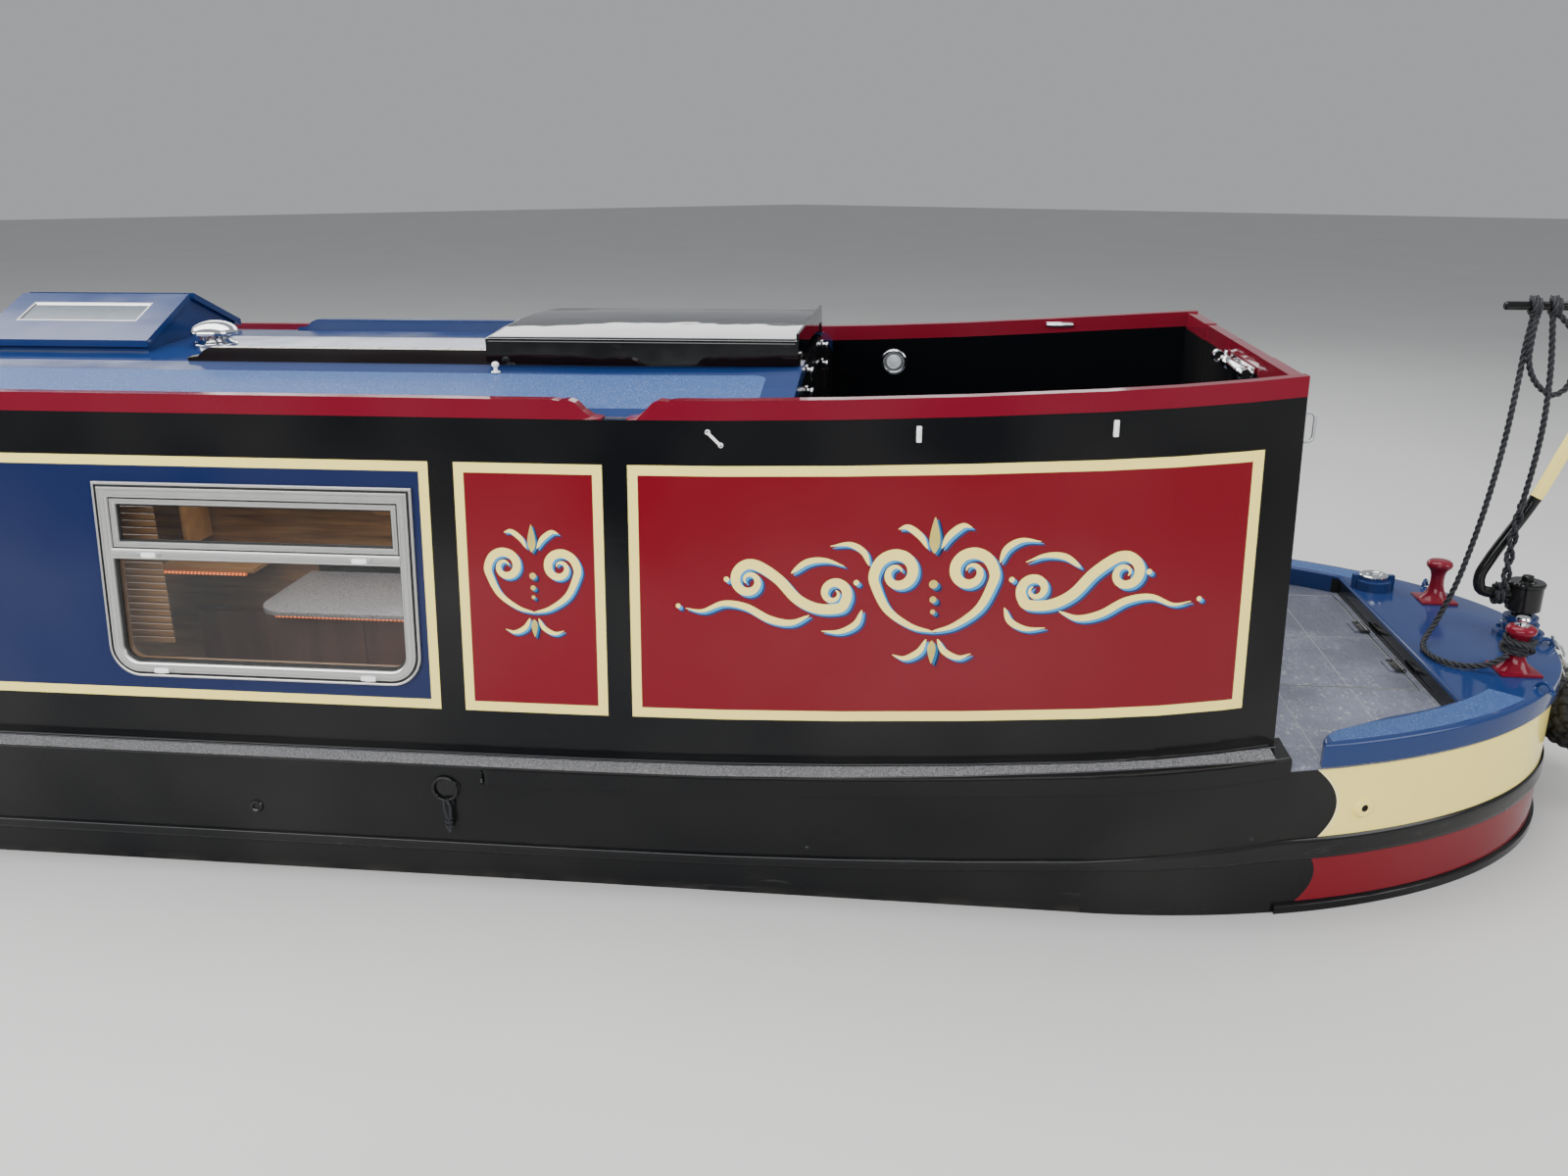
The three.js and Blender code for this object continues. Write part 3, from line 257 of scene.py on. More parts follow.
# Painted panels on the cabin's sides: [fore edge, after edge, colour]
panels = {
    "places": [(-5.500, -2.100, "panelBlue"), (-1.900, 1.500, "panelBlue"), (1.700, 5.152, "panelBlue"),
               (5.228, 5.663, "red"), (5.736, 7.473, "red")],
    "low": 1.2575, "high": 1.9975, "lowRise": 0.101, "highRise": 0.080, "border": 0.029, "lift": 0.0006,
}


def panelEdge(x, which):
    return panels[which] + rise(x, panels[which + "Rise"])


def cabinSidePaint():
    paint = Paint("cabin_side_paint")
    x, y, z = paint.split(paint.at())
    aft = paint.ramp(x, 5.6, 7.6) ** 2.0
    half = panels["border"] / 2
    low = z - aft * panels["lowRise"] - panels["low"] - half
    high = z - aft * panels["highRise"] - panels["high"] + half
    upright = (low > 0.0) & (high < 0.0)
    colour = colours["black"]
    for fore, after, name in panels["places"]:
        colour = paint.blend((x > fore + half) & (x < after - half) & upright, colour, colours[name])
    # inside the cabin the lining is oak; around the steering well it is black
    span = abs(y) - (0.938 - 0.0976 * (z - 1.12)) + 0.03
    inner = (span + paint.ramp(x, 7.05, 7.6) ** 2.0 * 0.056) < 0.0
    lining = inner & (x < 6.15) & (x > -5.946)
    oak, _ = oakTone(paint, 9.0, (0.35, 1.0, 4.0))
    tone, rough, normal = coachFinish(paint, colour)
    tone = paint.blend(lining, paint.blend(inner, tone, colours["black"]), oak)
    return paint.finish(tone, rough + lining * 0.25, normal, 0.18)


def hullPaint():
    # gloss black, a grit strip along the gunwale with a painted highlight line along each of its edges, light
    # scuffs and a dull line at the water
    paint = Paint("hull_black")
    x, y, z = paint.split(paint.at())
    face = paint.facesUp()
    aft = paint.ramp(x, 5.6, 7.6) ** 2.0
    up = (face > 0.9) & (z - aft * 0.115 > 1.10)
    out = abs(y) + aft * 0.056
    strip = up & (out > 0.952) & (out < 1.0215) & (x < 7.560)
    grit = paint.noise(210.0, 3.0, 0.7)
    gritTone = paint.blend(paint.ramp(grit, 0.40, 0.62), (0.070, 0.072, 0.076), (0.330, 0.330, 0.345))
    # the bow is painted as the stern is: cream above the guard, crimson below it
    above = z - (0.852 + paint.ramp(x, -6.300, -8.590) ** 1.9 * 0.400)
    creamEnd = x + 7.05 - (above - 0.130) ** 2.0 * 5.0
    redEnd = x + 7.00 - (above + 0.090) ** 2.0 * 6.0
    side = face < 0.7
    colour = paint.blend((above > 0.0) & (above < 0.236) & (creamEnd < 0.0) & side, colours["black"],
                         colours["cream"])
    colour = paint.blend((above < 0.0) & (z > 0.7765) & (redEnd < 0.0) & side, colour, colours["red"])
    tone, rough, normal = coachFinish(paint, colour, 0.11, 0.15)
    scuff = paint.ramp(paint.noise(14.0, 5.0, 0.7, (0.2, 1.0, 2.0)), 0.63, 0.72) * paint.ramp(z, 0.98, 0.80)
    tone = paint.blend(scuff * 0.30, tone, (0.075, 0.073, 0.072))
    tide = paint.ramp(z, 0.772, 0.745) & paint.ramp(z, 0.70, 0.74)
    tone = paint.blend(tide * paint.ramp(paint.noise(8.0, 4.0), 0.4, 0.65) * 0.35, tone, (0.060, 0.052, 0.044))
    under = paint.ramp(z, 0.74, 0.70)
    tone = paint.blend(strip, paint.blend(under, tone, (0.010, 0.010, 0.010)), gritTone)
    # painted highlight: a thin light line along each edge of the grit strip stands in for light caught by the
    # gunwale's edges
    edges = up & (x < 7.575) & (((out > 0.9445) & (out < 0.9485)) | ((out > 1.0245) & (out < 1.0275)))
    tone = paint.blend(edges * 0.7, tone, (0.200, 0.205, 0.225))
    rough = (strip * 0.55) | (rough + scuff * 0.15 + under * 0.3)
    return paint.finish(tone, rough, paint.bump(grit * strip, 0.9, 0.004, normal), 0.19)


def counterPaint():
    # cream above the guard, crimson below it, each begun with a curve, and the foot ring black
    paint = Paint("counter_paint")
    x, y, z = paint.split(paint.at())
    creamEnd = x - (7.752 - 5.0 * (z - 1.075) ** 2.0)
    redEnd = x - (7.712 - 6.0 * (z - 0.865) ** 2.0)
    upper = z > 0.945
    cream = paint.blend((creamEnd > 0.0) & (creamEnd < 0.007), colours["cream"], (0.93, 0.82, 0.42))
    foot = z < 0.7765
    black = (upper & (creamEnd < 0.0)) | (1 - upper) & (redEnd < 0.0) | foot
    colour = paint.blend(black, paint.blend(upper, colours["red"], cream), colours["black"])
    tone, rough, normal = coachFinish(paint, colour, 0.11, 0.15)
    streak = paint.ramp(paint.noise(26.0, 3.0, 0.6, (1.0, 1.0, 0.15)), 0.60, 0.75)
    tone = paint.blend(streak * 0.08 * (upper & (creamEnd > 0.0)), tone, (0.40, 0.30, 0.15))
    rub = paint.ramp(paint.noise(9.0, 5.0, 0.7, (0.5, 0.5, 3.0)), 0.60, 0.72) * foot
    return paint.finish(paint.blend(rub * 0.3, tone, (0.12, 0.115, 0.11)), rough + rub * 0.2, normal, 0.19)


def guardPaint():
    # gloss black bar, rubbed grey along the edge that meets the lock walls
    paint = Paint("guard_black")
    tone, rough, normal = coachFinish(paint, colours["black"], 0.16, 0.2)
    rubs = paint.ramp(paint.noise(11.0, 5.0, 0.65, (0.35, 1.0, 3.0)), 0.56, 0.70)
    return paint.finish(paint.blend(rubs * 0.12, tone, (0.070, 0.071, 0.075)), rough + rubs * 0.16, normal, 0.22)


def gritBlue(name, walkway):
    # coach blue with fine grit where feet go
    paint = Paint(name)
    where, black = walkway(*paint.split(paint.at()))
    colour = paint.blend(black, colours["blue"], colours["black"])
    tone, rough, normal = coachFinish(paint, colour, 0.10, 0.5, 0.6)
    grit = paint.noise(190.0, 3.0, 0.72)
    tone = paint.blend(where * 0.50, tone, (0.050, 0.125, 0.330))
    tone = paint.blend(paint.ramp(grit, 0.54, 0.66) * where * 0.70, tone, (0.200, 0.290, 0.500))
    return paint.finish(tone, rough | (where * 0.40), paint.bump(grit * where, 0.8, 0.003, normal), 0.22)


def roofWalk(x, y, z):
    # grit between the runner and the rail, with its after corners rounded
    past = (x - 6.045) | 0.0
    beyond = (abs(abs(y) - 0.612) - 0.085) | 0.0
    return (past * past + beyond * beyond) < 0.0020, 0.0


def cappingWalk(x, y, z):
    # grit along the arms, inside a smooth border; the step's face is black
    turn = (((x - 7.05) / 1.600) ** 2.0 + (y / 1.030) ** 2.0) ** 0.5
    inside = (1 - turn) * 1.10
    grit = (inside > 0.008) & (inside < 0.092) & (x > 7.715) & (x - abs(y) * 1.1 < 7.745) & (z > 1.2735)
    return grit, (x < 8.1735) & (x > 8.15) & (z < 1.262) & (abs(y) < 0.63)


def runnerEnd(x, y, z):
    # no grit; black where the hatch hides it
    return x < -99.0, x > 5.15


def deckPaint():
    # slate-grey covering with fine crossed score lines and chips, with painted glints: pale specks on the chips
    paint = Paint("deck_grey")
    x, y, z = paint.split(paint.at())
    scores = (paint.repeat(x - 7.70, 0.1175) < 0.0016) | (paint.repeat(y + 0.36, 0.23) < 0.0016)
    chips = paint.noise(34.0, 6.0, 0.68, (1.0, 0.55, 1.0))
    ridges = paint.ramp(abs(chips - 0.5), 0.030, 0.0)
    glintNoise = paint.noise(95.0, 4.0, 0.7, (1.0, 0.45, 1.0))
    # painted highlight: pale specks with lower roughness stand in for light glinting off the chips
    paintedGlints = paint.ramp(glintNoise, 0.57, 0.63) & paint.ramp(chips, 0.40, 0.60)
    worn = paint.ramp(paint.noise(2.2, 4.0, 0.6), 0.40, 0.62)
    tone = paint.blend(worn, (0.092, 0.100, 0.136), (0.180, 0.190, 0.250))
    tone = paint.blend(ridges * 0.35, tone, (0.040, 0.040, 0.050))
    tone = paint.blend(paintedGlints * (0.20 + worn * 0.80) * 0.85, tone, (0.60, 0.59, 0.57))
    tone = paint.blend(scores * (z > 1.19) * 0.60, tone, (0.40, 0.39, 0.38))
    normal = paint.bump(paint.noise(160.0, 2.0), 0.25, 0.002, paint.bump(chips, 0.9, 0.006))
    return paint.finish(tone, 0.42 - paintedGlints * 0.20, normal)


def metal(name, colour, rough, streaks=0.10, metallic=1.0, dull=0.25):
    paint = Paint(name)
    smear = paint.noise(30.0, 4.0, 0.6)
    tone = paint.blend(paint.ramp(smear, 0.4, 0.75, (0.0, dull)), colour, tuple(c * 0.55 for c in colour))
    return paint.finish(tone, rough + paint.ramp(smear, 0.35, 0.7) * streaks,
                        paint.bump(paint.noise(220.0, 2.0), 0.05 * dull * 4, 0.001), Metallic=metallic)


def timber(name, light, dark):
    paint = Paint(name)
    grain = paint.noise(60.0, 3.0, 0.6, (0.14, 3.0, 3.0))
    tone = paint.blend(paint.ramp(paint.noise(5.0, 5.0, 0.6, (0.35, 3.0, 3.0)), 0.3, 0.7), light, dark)
    tone = paint.blend(paint.ramp(grain, 0.45, 0.7, (0.0, 0.5)), tone, dark)
    return paint.finish(tone, 0.36 + paint.ramp(grain, 0.4, 0.7) * 0.2, paint.bump(grain, 0.15, 0.001),
                        Coat_Weight=0.2, Coat_Roughness=0.2)


def ropeFibre():
    # dark twisted line: the strands' crowns painted lighter as painted highlight, the grooves between the strands
    # painted darker as painted shade, and a little fuzz
    paint = Paint("rope_fibre")
    fuzz = paint.noise(420.0, 3.0, 0.7)
    # painted highlight and shade by pointiness: lighter on the crowns, darker in the grooves
    crown = paint.ramp(paint.node("NewGeometry", {}, out=7), 0.46, 0.53)
    tone = paint.blend(crown, (0.002, 0.002, 0.003), (0.016, 0.017, 0.020))
    tone = paint.blend(crown * paint.ramp(fuzz, 0.45, 0.7) * 0.5, tone, (0.050, 0.053, 0.062))
    tone = paint.blend(paint.ramp(paint.noise(16.0, 3.0), 0.45, 0.75) * crown * 0.15, tone, (0.085, 0.085, 0.095))
    return paint.finish(tone, 0.50 + fuzz * 0.2, paint.bump(fuzz, 0.5, 0.002), 0.30)


def clearGlass():
    paint = Paint("window_glass")
    smear = paint.ramp(paint.noise(7.0, 4.0, 0.6), 0.45, 0.8)
    paint.material.surface_render_method = "BLENDED"
    return paint.finish(paint.blend(smear * 0.15, (0.012, 0.014, 0.015), colours["dust"]), 0.02 + smear * 0.05,
                        IOR=1.9, Alpha=paint.node("Fresnel", {}, IOR=1.5) * 0.9 + 0.16)


def bulkheadPaint():
    # black walls and doors with a red band along their top; oak lining on the cabin's side
    paint = Paint("bulkhead_paint")
    x, y, z = paint.split(paint.at())
    colour = paint.blend((x > 7.50) & (z > 2.198), colours["black"], colours["railRed"])
    tone, rough, normal = coachFinish(paint, colour, 0.09, 0.2)
    inside = (x < 6.152) & (x > -5.912)
    oak, _ = oakTone(paint, 9.0, (1.0, 0.5, 3.0))
    return paint.finish(paint.blend(inside, tone, oak), rough + inside * 0.25, normal, 0.28)


def runnerPaint():
    # black channel with a ribbed bright slide on top and a brass edge
    paint = Paint("runner_slide")
    x, y, z = paint.split(paint.at())
    up = paint.facesUp() > 0.75
    across = abs(y)
    slide = up & (across > 0.362) & (across < 0.391)
    edge = up & (across > 0.3925)
    tone, rough, normal = coachFinish(paint, colours["black"], 0.12, 0.3)
    tone = paint.blend(slide, tone, (0.62, 0.63, 0.64))
    tone = paint.blend(slide & (paint.repeat(x, 0.055) < 0.004), tone, (0.16, 0.16, 0.17))
    shine = slide | edge
    return paint.finish(paint.blend(edge, tone, (0.70, 0.56, 0.27)), rough + shine * 0.12, normal, 0.45,
                        Metallic=shine)


def mirrorBlack():
    # the hatch: deep gloss black that mirrors the sky, fine polish marks
    paint = Paint("hatch_gloss")
    marks = paint.ramp(paint.noise(60.0, 3.0, 0.6, (0.15, 2.0, 1.0)), 0.62, 0.75)
    return paint.finish(paint.blend(marks * 0.06, colours["black"], colours["dust"]), 0.035 + marks * 0.05,
                        paint.bump(paint.noise(2.2, 3.0, 0.55), 0.35, 0.012), 0.40)


def liningPaint():
    # cabin floor and galley: oak boards, brown doors and a pale grey worktop
    paint = Paint("cabin_lining")
    x, y, z = paint.split(paint.at())
    top = z > 1.0575
    oak, grain = oakTone(paint, 7.0, (0.3, 3.0, 1.0), "oak", "walnut")
    oak = paint.blend(paint.repeat(y, 0.075) < 0.0012, oak, (0.02, 0.012, 0.008))
    door = paint.blend(paint.ramp(paint.noise(6.0, 5.0, 0.6, (3.0, 3.0, 0.3)), 0.3, 0.7), (0.145, 0.062, 0.040),
                       (0.090, 0.038, 0.026))
    door = paint.blend(paint.repeat(x - 3.32, 0.249) < 0.002, door, (0.02, 0.01, 0.008))
    stone = paint.blend(paint.ramp(paint.noise(150.0, 3.0, 0.6), 0.45, 0.62), (0.46, 0.45, 0.45),
                        (0.26, 0.255, 0.26))
    tone = paint.blend(top, paint.blend(z < 0.170, door, oak), stone)
    return paint.finish(tone, 0.42 - top * 0.2, paint.bump(grain, 0.12, 0.001))


def lampGlow():
    paint = Paint("led_strip")
    colour = (1.0, 0.22, 0.05)
    lit = paint.ramp(paint.repeat(paint.split(paint.at())[0], 0.0085), 0.002, 0.005, (1.0, 0.0))
    glow = paint.blend(lit, tuple(c * 0.30 for c in colour), colour)
    return paint.finish(glow, 0.2 + lit * 0.1, Emission_Color=glow, Emission_Strength=2.2)


finishes = {
    "cabinSide": cabinSidePaint(), "hull": hullPaint(), "counter": counterPaint(), "deck": deckPaint(),
    "black": coachPaint("cabin_black", colours["black"], 0.08, 0.25),
    "rail": coachPaint("rail_red", colours["railRed"], 0.10, 0.35, shine=0.24),
    "cream": coachPaint("cream_line", colours["cream"], 0.22, 0.10),
    "skyBlue": coachPaint("shade_blue", colours["skyBlue"], 0.22, 0.05),
    "navy": coachPaint("shade_navy", colours["navy"], 0.22, 0.05),
    "roofBlue": gritBlue("roof_blue", roofWalk), "capping": gritBlue("capping_blue", cappingWalk),
    "runnerBlue": gritBlue("runner_blue", runnerEnd),
    "blue": coachPaint("coach_blue", colours["blue"], 0.09, 0.3), "guard": guardPaint(),
    "chrome": metal("chrome", (0.80, 0.81, 0.82), 0.06, 0.08),
    "aluminium": metal("aluminium", (0.50, 0.495, 0.485), 0.30, 0.05, dull=0.06),
    "galvanised": metal("galvanised", (0.50, 0.52, 0.54), 0.38, 0.20),
    "brass": metal("brass", (0.62, 0.44, 0.18), 0.20, 0.15),
    "bronze": metal("bronze", (0.42, 0.26, 0.12), 0.34, 0.20),
    "oak": timber("oak", colours["oak"], colours["walnut"]),
    "engine": coachPaint("engine_green", (0.03, 0.12, 0.07), 0.35, 0.4), "rope": ropeFibre(),
    # the door panes are opaque: their near-black is painted shade for the unlit cabin behind the glass
    "glass": clearGlass(), "darkGlass": metal("door_glass", (0.020, 0.024, 0.028), 0.04, 0.04, 0.0),
    # the pigeon-box panes are opaque: their blue-grey is painted shade for the box's dark inside with a painted
    # sky reflection
    "skyGlass": metal("roof_light_glass", (0.060, 0.085, 0.110), 0.05, 0.05, 0.0),
    "steelTrim": metal("steel_trim", (0.45, 0.46, 0.47), 0.35, 0.15),
    "rubber": coachPaint("rubber", (0.012, 0.012, 0.013), 0.55, 0.2),
    "pine": timber("pine", (0.55, 0.30, 0.11), (0.34, 0.16, 0.05)),
    "bulkhead": bulkheadPaint(), "runner": runnerPaint(), "hatch": mirrorBlack(), "lining": liningPaint(),
    "lamp": lampGlow(), "lens": metal("lamp_lens", (0.62, 0.66, 0.68), 0.16, 0.05, 0.0),
    "whitePlastic": coachPaint("white_plastic", (0.93, 0.93, 0.92), 0.28, 0.02),
}
# The finish of each solid of the frame; a star stands for port and for starboard
nodesOf = {
    "hull": "base_plate stem_post uxter_plate skeg second_guard rudder hull_side_* swim_*",
    "counter": "counter_stern", "deck": "stern_deck deck_board well_floor bow_well", "capping": "stern_capping",
    "blue": "fore_deck pigeon_box pigeon_lid_* fuel_filler rudder_bearing front_door_*", "roofBlue": "roof",
    "bulkhead": "front_bulkhead rear_bulkhead aft_bulkhead rear_door_* aft_door_*", "hatch": "sliding_hatch",
    "black": "tiller", "rail": "bow_dolly dolly_* handrail_* coaming_*", "cabinSide": "cabin_side_*",
    "runner": "hatch_runner_port", "runnerBlue": "hatch_runner_starboard", "engine": "engine_block",
    "lining": "cabin_floor", "chrome": "roof_vent_aft roof_vent_fore", "bronze": "propeller",
    "rope": "stern_fender bow_fender tiller_line", "aluminium": "window_*_1 window_*_2 window_*_3",
}
for finish, names in nodesOf.items():
    for name in names.split():
        for _, label in sides:
            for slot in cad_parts[name.replace("*", label)].material_slots:
                slot.material = finishes[finish]
print("materials made:", len(finishes))


# The material slot that each finish stands for
slotsOf = {
    "rope": "rope", "cream": "cream navy skyBlue counter", "chrome": "chrome galvanised brass whitePlastic",
    "aluminium": "aluminium glass darkGlass skyGlass steelTrim", "wood": "pine oak lamp lining",
    "hull_black": "black guard hull", "cabin_black": "rubber hatch", "red": "rail", "blue": "blue capping",
}
slotOf = {finish: slot for slot, names in slotsOf.items() for finish in names.split()}


def makePiece(name, parts, finish, body="root", smooth=True, faceFinish=None):
    points, faces = gather(*parts)
    keys = [finish] if isinstance(finish, str) else finish
    mesh = bpy.data.meshes.new(name)
    mesh.from_pydata([tuple(p) for p in points], [], faces)
    mesh.update()
    piece = link(name, mesh)
    for key in keys:
        mesh.materials.append(finishes[key])
    if faceFinish:
        mesh.polygons.foreach_set("material_index", faceFinish)
    if smooth:
        mesh.shade_smooth()
        mesh.set_sharp_from_angle(angle=math.radians(35))
    if body:
        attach(piece, body)
    return piece


def gather(*parts):
    points, faces = [], []
    for some, joined in parts:
        base = len(points)
        points += some
        faces += [tuple(base + i for i in face) for face in joined]
    return points, faces


def grid(rows, wide, closed=True, looped=False):
    # faces between rows of points; closed joins a row's ends, looped joins the last row to the first
    return [(a + k, a + (k + 1) % wide, b + (k + 1) % wide, b + k)
            for a, b in ((i * wide, (i + 1) % rows * wide) for i in range(rows if looped else rows - 1))
            for k in range(wide if closed else wide - 1)]


def flip(faces):
    return [(f[0], *f[:0:-1]) for f in faces]


def caps(rows, wide):
    return [tuple(reversed(range(wide))), tuple(range((rows - 1) * wide, rows * wide))]


def spoke(centre, radius, angle, axis="z"):
    u, v = radius * math.cos(angle), radius * math.sin(angle)
    return Vector(centre) + Vector({"x": (0, u, v), "y": (u, 0, v), "z": (u, v, 0)}[axis])


def turnsOf(count, start=0.0):
    return [start + 2 * math.pi * i / count for i in range(count)]


def onAxis(axis, radius, angle, along):
    u, v = radius * math.cos(angle), radius * math.sin(angle)
    return Vector({"x": (along, u, v), "y": (v, along, u), "z": (u, v, along)}[axis])


def curveThrough(points, spacing):
    # an even line along a centripetal curve through the points
    given = [Vector(p) for p in points]
    given = [2 * given[0] - given[1], *given, 2 * given[-1] - given[-2]]
    dense = []
    for four in zip(given, given[1:], given[2:], given[3:]):
        knots = [0.0]
        for p, q in zip(four, four[1:]):
            knots.append(knots[-1] + max(1e-6, (q - p).length) ** 0.5)
        for i in range(40):
            t = mix(knots[1], knots[2], i / 40)
            level = four
            for span in (1, 2, 3):
                # the middle span stays between the two inner knots
                starts = range(len(level) - 1)
                ends = [(1, 2)] if span == 3 else [(k, k + span) for k in starts]
                level = [level[k].lerp(level[k + 1], (t - knots[a]) / (knots[b] - knots[a]))
                         for k, (a, b) in zip(starts, ends)]
            dense.append(level[0])
    dense.append(given[-2])
    return evenLine(dense, spacing)


def evenLine(line, spacing):
    line = [Vector(p) for p in line]
    runs = [0.0]
    for a, b in zip(line, line[1:]):
        runs.append(runs[-1] + (b - a).length)
    count = max(2, round(runs[-1] / spacing))
    made, at = [], 0
    for i in range(count + 1):
        want = runs[-1] * i / count
        while at < len(runs) - 2 and runs[at + 1] < want:
            at += 1
        made.append(line[at].lerp(line[at + 1], clamp((want - runs[at]) / max(1e-9, runs[at + 1] - runs[at]))))
    return made


def lineLength(line):
    return sum((b - a).length for a, b in zip(line, line[1:]))


def sweep(line, facets, radius, turn=0.0):
    # radius(i, angle) gives the outline; returns the points and faces of a closed tube
    points, side = [], None
    for i, p in enumerate(line):
        along = (line[min(i + 1, len(line) - 1)] - line[max(i - 1, 0)]).normalized()
        side = along.orthogonal() if side is None else side - along * side.dot(along)
        side.normalize()
        other = along.cross(side)
        for angle in turnsOf(facets):
            r = radius(i, angle)
            angle += turn * i
            points.append(p + side * (r * math.cos(angle)) + other * (r * math.sin(angle)))
    return points, grid(len(line), facets) + caps(len(line), facets)


def tube(line, radius, facets=16):
    return sweep([Vector(p) for p in line], facets, lambda i, angle: radius)


def strandOutline(angle):
    # three strands laid together
    turn = (angle + math.pi / 3) % (2 * math.pi / 3) - math.pi / 3
    reach = 0.536 * math.cos(turn) + math.sqrt(max(0.0, 0.464 ** 2 - (0.536 * math.sin(turn)) ** 2))
    return max(0.52, reach)


def laidRope(line, radius, lay=3.3):
    # lay is the length of one turn of a strand, in rope diameters
    line = evenLine(line, radius * 0.36)
    step = lineLength(line) / (len(line) - 1)

    def reach(i, angle):
        return radius * (0.8 if i in (0, len(line) - 1) else 1.0) * strandOutline(angle)
    return sweep(line, 21, reach, math.pi * step / (lay * radius))


def turned(profile, centre, facets=40, axis="z"):
    # profile is [radius, along]; a radius of 0 closes an end
    points, faces, rows = [], [], []
    for r, along in profile:
        ring = turnsOf(facets if r > 1e-6 else 1)
        rows.append(range(len(points), len(points) + len(ring)))
        points += [Vector(centre) + onAxis(axis, r, a, along) for a in ring]
    for a, b in zip(rows, rows[1:]):
        for k in range(facets):
            n = (k + 1) % facets
            if len(a) == 1:
                faces.append((a[0], b[n], b[k]))
            else:
                faces.append((a[k], a[n], b[0]) if len(b) == 1 else (a[k], a[n], b[n], b[k]))
    return points, faces


def block(low, high, edge=0.002):
    # a box with its edges and corners rounded off
    made = bmesh.new()
    bmesh.ops.create_cube(made, size=1)
    for v in made.verts:
        v.co = [mix(a, b, c + 0.5) for a, b, c in zip(low, high, v.co)]
    bmesh.ops.bevel(made, geom=made.edges[:] + made.verts[:], offset=edge, segments=2, affect="EDGES",
                    profile=0.6)
    points = [v.co.copy() for v in made.verts]
    faces = [tuple(v.index for v in f.verts) for f in made.faces]
    made.free()
    return points, faces


def screwHead(centre, axis, radius=0.004, out=1):
    profile = [(radius, 0), (radius, out * 0.0008), (radius * 0.7, out * 0.0018), (0, out * 0.002)]
    return turned(profile, centre, 16, axis)


def closedTube(loop, radius, facets=8):
    count = len(loop)
    centre = sum(loop, Vector()) / count
    flat = sum((((a - centre).cross(b - centre)) for a, b in zip(loop, loop[1:] + loop[:1])), Vector())
    flat.normalize()
    points = []
    for i, p in enumerate(loop):
        out = (loop[(i + 1) % count] - loop[i - 1]).normalized().cross(flat)
        points += [p + out * (radius * math.cos(a)) + flat * (radius * math.sin(a)) for a in turnsOf(facets)]
    return points, grid(count, facets, looped=True)


def rings(loops):
    # loops of equal count, joined in turn, the last back to the first
    return [p for loop in loops for p in loop], grid(len(loops), len(loops[0]), looped=True)


def capsule(centre, axis, long, radius, facets=20):
    ends = [(radius * math.sin(a), -long / 2 + radius * (1 - math.cos(a)))
            for a in (math.pi / 2 * i / 5 for i in range(6))]
    return turned(ends + [(r, -at) for r, at in reversed(ends)], centre, facets, axis)


# Mooring line: from its turns on the port dolly, round a loop on the deck and up to the tiller's pipe
mooringLine = {
    "radius": 0.010,
    "route": [(8.389, -0.375, 1.338), (8.345, -0.372, 1.308), (8.295, -0.356, 1.290), (8.235, -0.322, 1.287),
              (8.206, -0.250, 1.2867), (8.216, -0.165, 1.291), (8.276, -0.095, 1.350), (8.322, -0.080, 1.470),
              (8.352, -0.070, 1.590), (8.378, -0.062, 1.725), (8.405, -0.050, 1.920), (8.420, -0.038, 2.100),
              (8.431, -0.022, 2.240), (8.444, -0.006, 2.320), (8.446, -0.002, 2.3383)],
    "lashed_strand": [(8.502, -0.004, 2.348), (8.514, -0.030, 2.180), (8.519, -0.040, 2.010),
                      (8.512, -0.042, 1.870), (8.497, -0.042, 1.723)],
    "lashing": [(8.499, -0.042, 1.740), (8.489, -0.044, 1.620), (8.489, -0.046, 1.510), (8.494, -0.041, 1.445)],
    "hanging_bight": [(8.452, -0.020, 2.338), (8.441, -0.036, 2.300), (8.437, -0.043, 2.250),
                      (8.440, -0.042, 2.200), (8.462, -0.038, 2.148), (8.494, -0.036, 2.112),
                      (8.531, -0.034, 2.092), (8.566, -0.030, 2.108), (8.586, -0.026, 2.155),
                      (8.586, -0.020, 2.220), (8.562, -0.012, 2.295), (8.520, -0.006, 2.340)],
    # hitches: half their length, the turns' radius, turn per step and first angle, and the line's radius
    "neckHitch": {"x": 8.494, "z": 1.420, "half": 0.016, "around": 0.0300, "step": 0.20, "start": 2.6,
                  "thick": 0.0095},
    "pipeHitch": {"half": 0.010, "around": 0.0245, "step": math.pi * 3.2 / 60, "start": 1.2, "thick": 0.0105},
    "hitches": [8.446, 8.506],
}


def ropePiece(name, parts, body="root"):
    return makePiece(name, parts, "rope", body)


def makeMooringLine():
    line = curveThrough(mooringLine["route"], 0.006)
    rope = ropePiece("mooring_line", [laidRope(line, mooringLine["radius"])], None)
    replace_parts(rope, "tiller_line")
    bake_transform(rope)
    [tuple(p) for p in line[::4] + [line[-1]]]


makeMooringLine()
print("mooring line laid")

# Floor at the waterline, open where the hull stands in it, and a plain pale world
studio = {
    "reach": 60.0, "world": (0.86, 0.89, 0.93, 1), "worldPower": 0.46,
    "lamps": {  # place, aim, width and height, watts
        "overhead": ((0.5, 1.5, 9.0), (0.5, 0.0, 1.5), (19.0, 6.0), 1750),
        "nearSide": ((0.0, -8.5, 6.0), (0.5, -0.9, 1.3), (17.0, 4.0), 1650),
        "farSide": ((0.0, 9.0, 5.5), (0.5, 0.9, 1.3), (17.0, 3.0), 520),
        "cabinLamp": ((4.5, 0.0, 2.10), (4.5, 0.0, 1.0), (2.0, 0.5), 26),
        "stern": ((13.5, -3.0, 5.0), (8.0, 0.0, 1.3), (4.0, 4.0), 300),
        "bow": ((-13.5, -3.0, 5.0), (-8.0, 0.0, 1.3), (4.0, 4.0), 200),
    },
}


